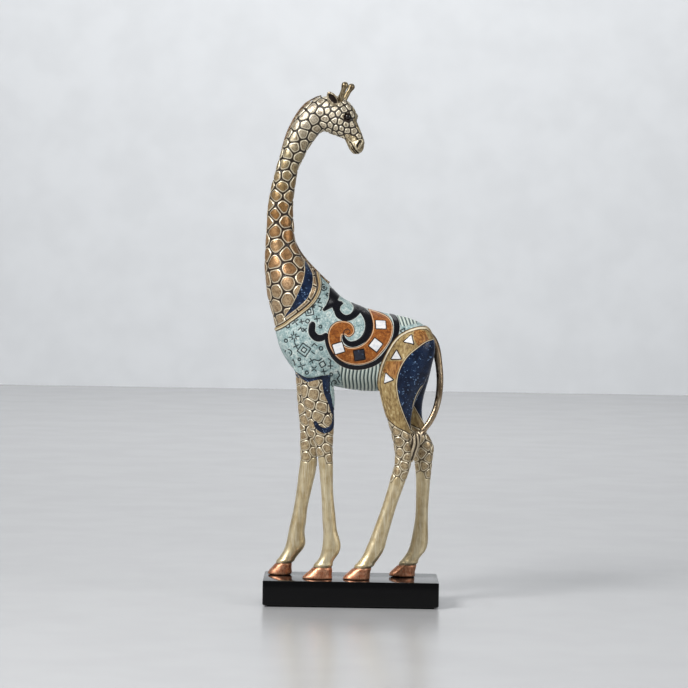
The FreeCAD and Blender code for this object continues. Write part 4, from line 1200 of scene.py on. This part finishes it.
def hide_paint(r):
    """Champagne gold where the hide is smooth; plates in tan, orange-brown and ivory, lighter at the rim."""
    height = r.add("ShaderNodeSeparateXYZ", {0: r.place()}, output="Z")
    share = r.calc("DIVIDE", height, 461.0)
    centre = r.stops(
        share,
        [(0.25, (0.60, 0.47, 0.28)), (0.43, (0.58, 0.44, 0.27)), (0.56, (0.46, 0.32, 0.20)),
         (0.65, (0.38, 0.185, 0.070)), (0.73, (0.36, 0.165, 0.048)), (0.80, (0.31, 0.200, 0.075)),
         (0.86, (0.40, 0.34, 0.20)), (0.93, (0.68, 0.61, 0.49))],
    )
    varied = r.mix(r.both(r.kept("tone"), 0.45), centre, (0.60, 0.48, 0.29))
    blotches = r.fade(r.noise(0.40, 4.0, roughness=0.7), 0.42, 0.64)
    shaded = r.mix(r.both(blotches, 0.7), varied, (0.15, 0.080, 0.032))
    speckled = r.mix(r.both(r.fade(r.noise(1.5, 4.0), 0.52, 0.64), 0.6), shaded, (0.075, 0.040, 0.018))
    ringed = r.mix(r.both(r.line(r.kept("edge"), 1.85, 0.13, 0.2), 0.6), speckled, (0.045, 0.024, 0.012))
    rimmed = r.mix(r.both(r.line(r.kept("edge"), 1.16, 0.34, 0.28), 0.85), ringed, (0.78, 0.71, 0.54))
    champagne = dict(Colour=(0.70, 0.585, 0.365), Second_colour=(0.54, 0.415, 0.225))
    smooth_gold = r.group(ANTIQUE_GOLD, **champagne, Highlight=(0.95, 0.89, 0.70))
    streaks = r.fade(r.noise(0.9, 4.0, (1.2, 1.2, 0.45), 0.7), 0.40, 0.56)
    muzzle = r.both(r.fade(height, 380.0, 388.0), streaks)
    smooth = r.mix(r.both(muzzle, 0.9), smooth_gold, (0.13, 0.095, 0.050))
    base = r.mix(r.inside(r.calc("SUBTRACT", 0.5, r.kept("plate")), 0.1), smooth, rimmed)
    strength = r.blend(r.fade(height, 112.0, 160.0), 0.72, 0.97)
    return r.mix(r.both(r.fade(r.kept("edge"), 0.84, 0.44), strength), base, DARK_WASH)


print("mixed:", gold_panel.__name__, hide_paint.__name__)

# %% [markdown]
# Layers go on in the painter's order: teal ground, pleats and marks, orange, black, gold panel, navy, then
# the hide with its plates, and last the piping, the hooves and the face. Each call below lays one group of
# them.

# %% Lay the castings' paint


def flank_layers(r, black):
    """Teal, the orange band and the black scrolls, with a pale line along the black."""
    colour = orange_band(r, teal_ground(r))
    beside_black = r.both(r.line(r.kept("black"), 0.30, 0.16), r.rest(r.inside(r.kept("orange"))))
    colour = r.mix(beside_black, colour, (0.60, 0.60, 0.54))
    return r.mix(black, colour, (0.0045, 0.0045, 0.0070))


def thigh_layers(r, under, panel_share, leaf_share, navy):
    """The gold panel, its navy leaf, the drawn lines of both, and a cream painted highlight along the thigh's
    rear edge.
    """
    colour = r.mix(panel_share, under, gold_panel(r))
    colour = r.mix(r.line(r.kept("panel"), 0.15, 0.34), colour, (0.040, 0.022, 0.012))
    colour = r.mix(leaf_share, colour, navy)
    # The second of these lines is a painted highlight along the thigh's rear edge, not a drawn line.
    lines = [
        ("leaf", 0.45, 0.24, CREAM_LINE), ("leaf_line", 0.0, 0.30, CREAM_LINE), ("leaf", 1.05, 0.18, UMBER_LINE),
    ]
    for name, at, half, paint in lines:
        colour = r.mix(r.both(r.line(r.kept(name), at, half), panel_share), colour, paint)
    return colour


def hide_layers(r, under, hide_share, trim, navy):
    """The hide, the navy crescent and garter, and the collar's piping."""
    colour = r.mix(hide_share, under, hide_paint(r))
    colour = r.mix(r.both(r.line(r.kept("crescent"), 0.35, 0.22), hide_share), colour, (0.68, 0.58, 0.40))
    colour = r.mix(trim, colour, navy)
    piping = [(1.5, 1.95, UMBER_SEAM), (2.05, 0.55, (0.64, 0.55, 0.37)), (0.75, 0.42, (0.42, 0.29, 0.13))]
    for at, half, paint in piping:
        colour = r.mix(r.line(r.kept("collar"), at, half, 0.2), colour, paint)
    return colour


def hoof_layers(r, under):
    """Copper hooves with darker streaks, and a dark groove at the coronet."""
    copper = r.mix(r.fade(r.noise(0.35, 3.0), 0.35, 0.7), (0.46, 0.175, 0.090), (0.66, 0.36, 0.22))
    streaks = r.fade(r.noise(1.1, 3.0, (1.0, 1.0, 0.25)), 0.52, 0.66)
    streaked = r.mix(r.both(streaks, 0.6), copper, (0.11, 0.040, 0.022))
    colour = r.mix(r.kept("hoof"), under, streaked)
    return r.mix(r.both(r.line(r.kept("coronet"), 0.0, 0.30, 0.3), 0.85), colour, (0.050, 0.022, 0.012))


def face_layers(r, under, eye_patch, chip_edge):
    """Nostrils, mouth, the dark patch round the eye, and the dark line round each chip."""
    colour = r.mix(r.both(r.fade(r.kept("face"), 0.95, 0.50), 0.96), under, DARK_WASH)
    colour = r.mix(r.both(r.line(r.kept("face"), 1.45, 0.26, 0.2), 0.8), colour, (0.74, 0.66, 0.48))
    colour = r.mix(eye_patch, colour, (0.016, 0.008, 0.005))
    return r.mix(chip_edge, colour, (0.030, 0.014, 0.008))


def casting_paint(r):
    navy = navy_glitter(r)
    black, panel_share, hide_share = (r.inside(r.kept(name)) for name in ("black", "panel", "hide"))
    leaf_share = r.both(r.inside(r.kept("leaf")), panel_share)
    garter_share = r.both(r.inside(r.kept("garter")), r.fade(r.kept("foreleg"), 0.8, 0.5))
    trim = r.calc("MAXIMUM", r.inside(r.kept("crescent")), garter_share)
    eye_patch = r.inside(r.kept("eye"), 0.5)
    chip_edge = r.inside(r.calc("SUBTRACT", r.kept("chip"), 0.95))

    colour = thigh_layers(r, flank_layers(r, black), panel_share, leaf_share, navy)
    colour = hoof_layers(r, hide_layers(r, colour, hide_share, trim, navy))
    colour = face_layers(r, colour, eye_patch, chip_edge)

    glossy = r.calc("MAXIMUM", black, r.calc("MAXIMUM", trim, leaf_share))
    on_hide_metal = r.both(hide_share, r.blend(r.kept("plate"), 0.70, 0.50))
    metal = r.calc("MAXIMUM", on_hide_metal, r.both(panel_share, 0.7))
    metal = r.both(r.both(metal, r.rest(glossy)), r.fade(r.kept("edge"), 0.4, 1.0))
    metal = r.both(r.both(metal, r.rest(chip_edge)), r.rest(eye_patch))
    rough = r.blend(glossy, r.blend(hide_share, 0.46, 0.34), 0.26)
    finish = r.group(HAND_FINISH, None, Strength=0.40)
    return {
        "Base Color": colour,
        "Metallic": metal,
        "Roughness": r.calc("ADD", rough, r.both(finish.outputs["Wear"], 0.10)),
        "Normal": finish.outputs["Normal"],
        "Specular IOR Level": 0.30,
    }


CASTING = material("casting_paint", casting_paint)
print("casting paint:", len(CASTING.node_tree.nodes), "nodes")

# %% [markdown]
# The small castings are painted by themselves. The mane is brown with worn tips, the tail is bronze that is
# darker towards its root, and the ears are pale gold with a dark hollow. The horns are darker, antique
# bronze.

# %% Mix the paint of the mane, the tail, the ears and the horns


def mane_paint(r):
    """Brown bristles, worn pale in places."""
    hair = r.calc("ADD", r.both(r.kept("hair"), 0.5), 0.5)
    strands = r.mix(hair, (0.040, 0.021, 0.012), (0.215, 0.125, 0.062))
    worn = r.mix(r.both(r.fade(r.noise(0.5, 4.0), 0.46, 0.66), 0.6), strands, (0.52, 0.43, 0.28))
    finish = r.group(HAND_FINISH, None, Strength=0.5)
    return {"Base Color": worn, "Metallic": 0.35, "Roughness": 0.42, "Normal": finish.outputs["Normal"]}


def tail_paint(r):
    height = r.add("ShaderNodeSeparateXYZ", {0: r.place()}, output="Z")
    aged = r.group(
        ANTIQUE_GOLD,
        None,
        Colour=(0.47, 0.345, 0.215),
        Second_colour=(0.24, 0.150, 0.080),
        Highlight=(0.90, 0.80, 0.62),
        Wash=r.both(r.fade(height, 205.0, 236.0), 0.8),
    )
    low = r.calc("ADD", r.both(r.kept("strand"), 0.5), 0.5)
    strands = r.mix(r.fade(low, 0.20, 0.70), (0.050, 0.034, 0.021), (0.60, 0.50, 0.35))
    finish = r.group(HAND_FINISH, None, Strength=0.3)
    return {
        "Base Color": r.mix(r.kept("tuft"), aged.outputs["Colour"], strands),
        "Metallic": r.blend(r.kept("tuft"), 0.92, 0.45),
        "Roughness": r.calc("SUBTRACT", aged.outputs["Roughness"], 0.10),
        "Normal": finish.outputs["Normal"],
    }


def ear_paint(r):
    """Gold-cream leaf with a dark hollow."""
    worn = r.fade(r.noise(0.55, 4.0, roughness=0.7), 0.42, 0.62)
    leaf = r.mix(worn, (0.20, 0.14, 0.08), (0.78, 0.69, 0.50))
    finish = r.group(HAND_FINISH, None, Strength=0.4)
    return {
        "Base Color": r.mix(r.fade(r.kept("hollow"), 0.12, 0.45), leaf, (0.018, 0.010, 0.007)),
        "Metallic": 0.6,
        "Roughness": 0.42,
        "Normal": finish.outputs["Normal"],
    }


def bronze_gold(r):
    darker = dict(Colour=(0.26, 0.195, 0.105), Second_colour=(0.115, 0.075, 0.036))
    aged = r.group(ANTIQUE_GOLD, None, **darker, Highlight=(0.74, 0.66, 0.46))
    finish = r.group(HAND_FINISH, None, Strength=0.3)
    return {
        "Base Color": aged.outputs["Colour"],
        "Metallic": 0.9,
        "Roughness": aged.outputs["Roughness"],
        "Normal": finish.outputs["Normal"],
    }


MANE, TAIL = material("mane_brown_paint", mane_paint), material("tail_bronze_paint", tail_paint)
EAR, BRONZE = material("ear_gold_paint", ear_paint), material("bronze_gold_paint", bronze_gold)
print("paints:", MANE.name, TAIL.name, EAR.name, BRONZE.name)

# %% [markdown]
# ## Chips, plinth and hardware
# Mother-of-pearl has layered cloudy bands and a clear coat. The blue chips are dark glass. The plinth is
# deep black lacquer with faint dust and polishing marks, and felt closes its underside.

# %% Mix the other finishes


def pearl(r):
    layers = r.noise(0.22, 3.0, (1.0, 1.0, 1.8))
    body = r.stops(layers, [(0.30, (0.62, 0.65, 0.70)), (0.5, (0.80, 0.80, 0.80)), (0.7, (0.92, 0.88, 0.85))])
    return {
        "Base Color": body, "Roughness": r.blend(r.noise(0.8, 2.0), 0.10, 0.30),
        "Coat Weight": 0.8, "Coat Roughness": 0.06, "Sheen Weight": 0.1,
    }


def blue_glass(r):
    depth = r.mix(r.blend(r.noise(0.6, 2.0), 0.5, 0.9), navy_glitter(r), (0.0010, 0.0015, 0.0050))
    return {"Base Color": depth, "Roughness": 0.12, "Coat Weight": 0.4, "Coat Roughness": 0.04}


def lacquer(r):
    dust = r.fade(r.noise(2.6, 2.0), 0.66, 0.74)
    polish = r.noise(0.30, 4.0, (0.25, 1.0, 1.0))
    waves = {"Strength": 0.05, "Distance": 0.0003, "Height": r.noise(0.12, 2.0)}
    gentle = r.add("ShaderNodeBump", waves, output="Normal")
    return {
        "Base Color": r.mix(r.both(dust, 0.20), (0.0025, 0.0025, 0.0028), (0.10, 0.10, 0.10)),
        "Roughness": r.calc("ADD", r.both(dust, 0.15), r.blend(polish, 0.07, 0.15)),
        "Specular IOR Level": 0.22, "Normal": gentle,
    }


def felt(r):
    fibres = r.noise(2.4, 5.0, roughness=0.8)
    tufted = r.add("ShaderNodeBump", {"Strength": 0.8, "Distance": 0.0004, "Height": fibres}, output="Normal")
    return {
        "Base Color": r.mix(r.fade(fibres, 0.3, 0.7), (0.012, 0.012, 0.013), (0.050, 0.050, 0.052)),
        "Roughness": 0.95, "Sheen Weight": 0.5, "Normal": tufted,
    }


def eye_gloss(r):
    depth = r.mix(r.fade(r.noise(0.8, 2.0), 0.4, 0.7), (0.004, 0.003, 0.003), (0.020, 0.010, 0.006))
    return {"Base Color": depth, "Roughness": 0.07, "Specular IOR Level": 0.4}


def zinc(r):
    drawn = r.noise(1.4, 3.0, (1.0, 1.0, 0.05))
    return {
        "Base Color": r.mix(drawn, (0.46, 0.47, 0.48), (0.66, 0.67, 0.67)), "Metallic": 1.0,
        "Roughness": r.blend(drawn, 0.28, 0.45),
    }


RECIPES = dict(
    pearl_chip=pearl, blue_chip=blue_glass, black_lacquer=lacquer, black_felt=felt, black_eye=eye_gloss,
    zinc_steel=zinc,
)
FINISHES = {name: material(name, build) for name, build in RECIPES.items()}
print("finishes:", ", ".join(FINISHES))

# %% [markdown]
# Now each new piece gets its finish. The castings share one paint, because it reads what to be from their
# points.

# %% Give the pieces their finishes


def give(piece, finish):
    piece.data.materials.clear()
    piece.data.materials.append(finish)


for piece in pieces.values():
    give(piece, CASTING)
give(mane, MANE)
give(tail, TAIL)
give(plinth, FINISHES["black_lacquer"])
for ear in ears.values():
    give(ear, EAR)
for node, chip in chips.items():
    give(chip, FINISHES["blue_chip" if "blue" in node else "pearl_chip"])
print("painted pieces:", len(pieces) + len(ears) + len(chips) + 3)

# %% [markdown]
# ## Set the pieces in the castings' place
# Each new piece stands for a casting of the frame. The horns, eyes, felt and the hidden steel need no
# better shape, so they stay as they are and only get their finish.

# %% Attach each piece to the figure and hide the castings it stands for
STANDS_FOR = {
    pieces["neck"]: ["neck", "head"], pieces["torso"]: ["torso"], **{pieces[leg]: [leg] for leg in LEGS},
    mane: ["mane"], tail: ["tail"], plinth: ["plinth"],
    **{ear: [f"ear_{side}"] for side, ear in ears.items()}, **{chip: [node] for node, chip in chips.items()},
}
for piece, nodes in STANDS_FOR.items():
    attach(piece, "root")
    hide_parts(*nodes)

print(len(STANDS_FOR), "pieces stand for castings, chips and the plinth")

# %% [markdown]
# What the frame still shows itself gets a finish by its name: felt, eyes and horns. All else of it is
# steel.

# %% Finish what stays as it is
CARRIED = {"felt": FINISHES["black_felt"], "eye": FINISHES["black_eye"], "ossicone": BRONZE}
replaced = {node for nodes in STANDS_FOR.values() for node in nodes}
for name, node in frame["nodes"].items():
    if name not in replaced:
        give(node, next((finish for word, finish in CARRIED.items() if word in name), FINISHES["zinc_steel"]))
        print(f"{name:28s}{node.data.materials[0].name}")

# %% [markdown]
# ## Stage
# The floor and the wall are plain and pale. The wall stands well back, so that it doesn't come between the
# figure and a camera behind it.

# %% Floor and wall


def plain(name, colour, rough):
    lighter = tuple(c * 1.05 for c in colour)

    def paint(r):
        return {"Base Color": r.mix(r.fade(r.noise(0.01, 2.0), 0.3, 0.7), colour, lighter),
                "Roughness": rough}

    return material(name, paint)


bpy.ops.mesh.primitive_plane_add(size=8, location=(0, 0, -0.0002))
floor = bpy.context.object
floor.name = "floor"
give(floor, plain("pale_floor", (0.47, 0.47, 0.475), 0.26))
bpy.ops.mesh.primitive_plane_add(size=8, location=(0, 3.4, 3.9), rotation=(math.radians(90), 0, 0))
wall = bpy.context.object
wall.name = "wall"
give(wall, plain("pale_wall", (0.80, 0.82, 0.84), 0.9))
print("stage:", floor.name, wall.name)

# %% [markdown]
# A large soft light stands high on the left, a weaker one on the right, and one more lights the wall. The
# room in front of the figure is left dimmer than the wall, because metal paint and lacquer only look like
# themselves when there is something dark for them to reflect.

# %% Lights


def soft_light(name, place, size, power, aim=(0, 0, 0.22)):
    bpy.ops.object.light_add(type="AREA", location=place)
    light = bpy.context.object
    light.name = name
    light.data.shape = "DISK"
    light.data.size = size
    light.data.energy = power
    light.rotation_euler = (Vector(aim) - Vector(place)).to_track_quat("-Z", "Y").to_euler()


soft_light("key light", (-1.3, -1.2, 1.5), 0.8, 51)
soft_light("fill light", (1.5, -0.9, 0.9), 0.8, 12)
soft_light("wall light", (0.0, 1.6, 2.6), 1.6, 52, aim=(0, 3.4, 0.6))

world = bpy.data.worlds.new("studio")
world.use_nodes = True
world.node_tree.nodes["Background"].inputs["Color"].default_value = (0.90, 0.93, 0.97, 1)
world.node_tree.nodes["Background"].inputs["Strength"].default_value = 0.17
bpy.context.scene.world = world
bpy.context.scene.view_settings.view_transform = "Standard"

# %% [markdown]
# The camera stands level with the neck, straight in front of the flank, and looks slightly down. A long
# lens keeps the legs upright.

# %% Camera
bpy.ops.object.camera_add(location=(-0.0093, -2.4566, 0.3271))
camera = bpy.context.object
camera.data.lens, camera.data.sensor_width, camera.data.sensor_height = 145, 36, 36
camera.data.clip_end = 20
pitch, roll = math.radians(-2.25), math.radians(0.9)
level = Euler((math.radians(90) + pitch, 0, 0)).to_matrix()
camera.rotation_euler = (level @ Euler((0, 0, roll)).to_matrix()).to_euler()
bpy.context.scene.camera = camera
print("camera at", tuple(round(c, 3) for c in camera.location))

# %% [markdown]
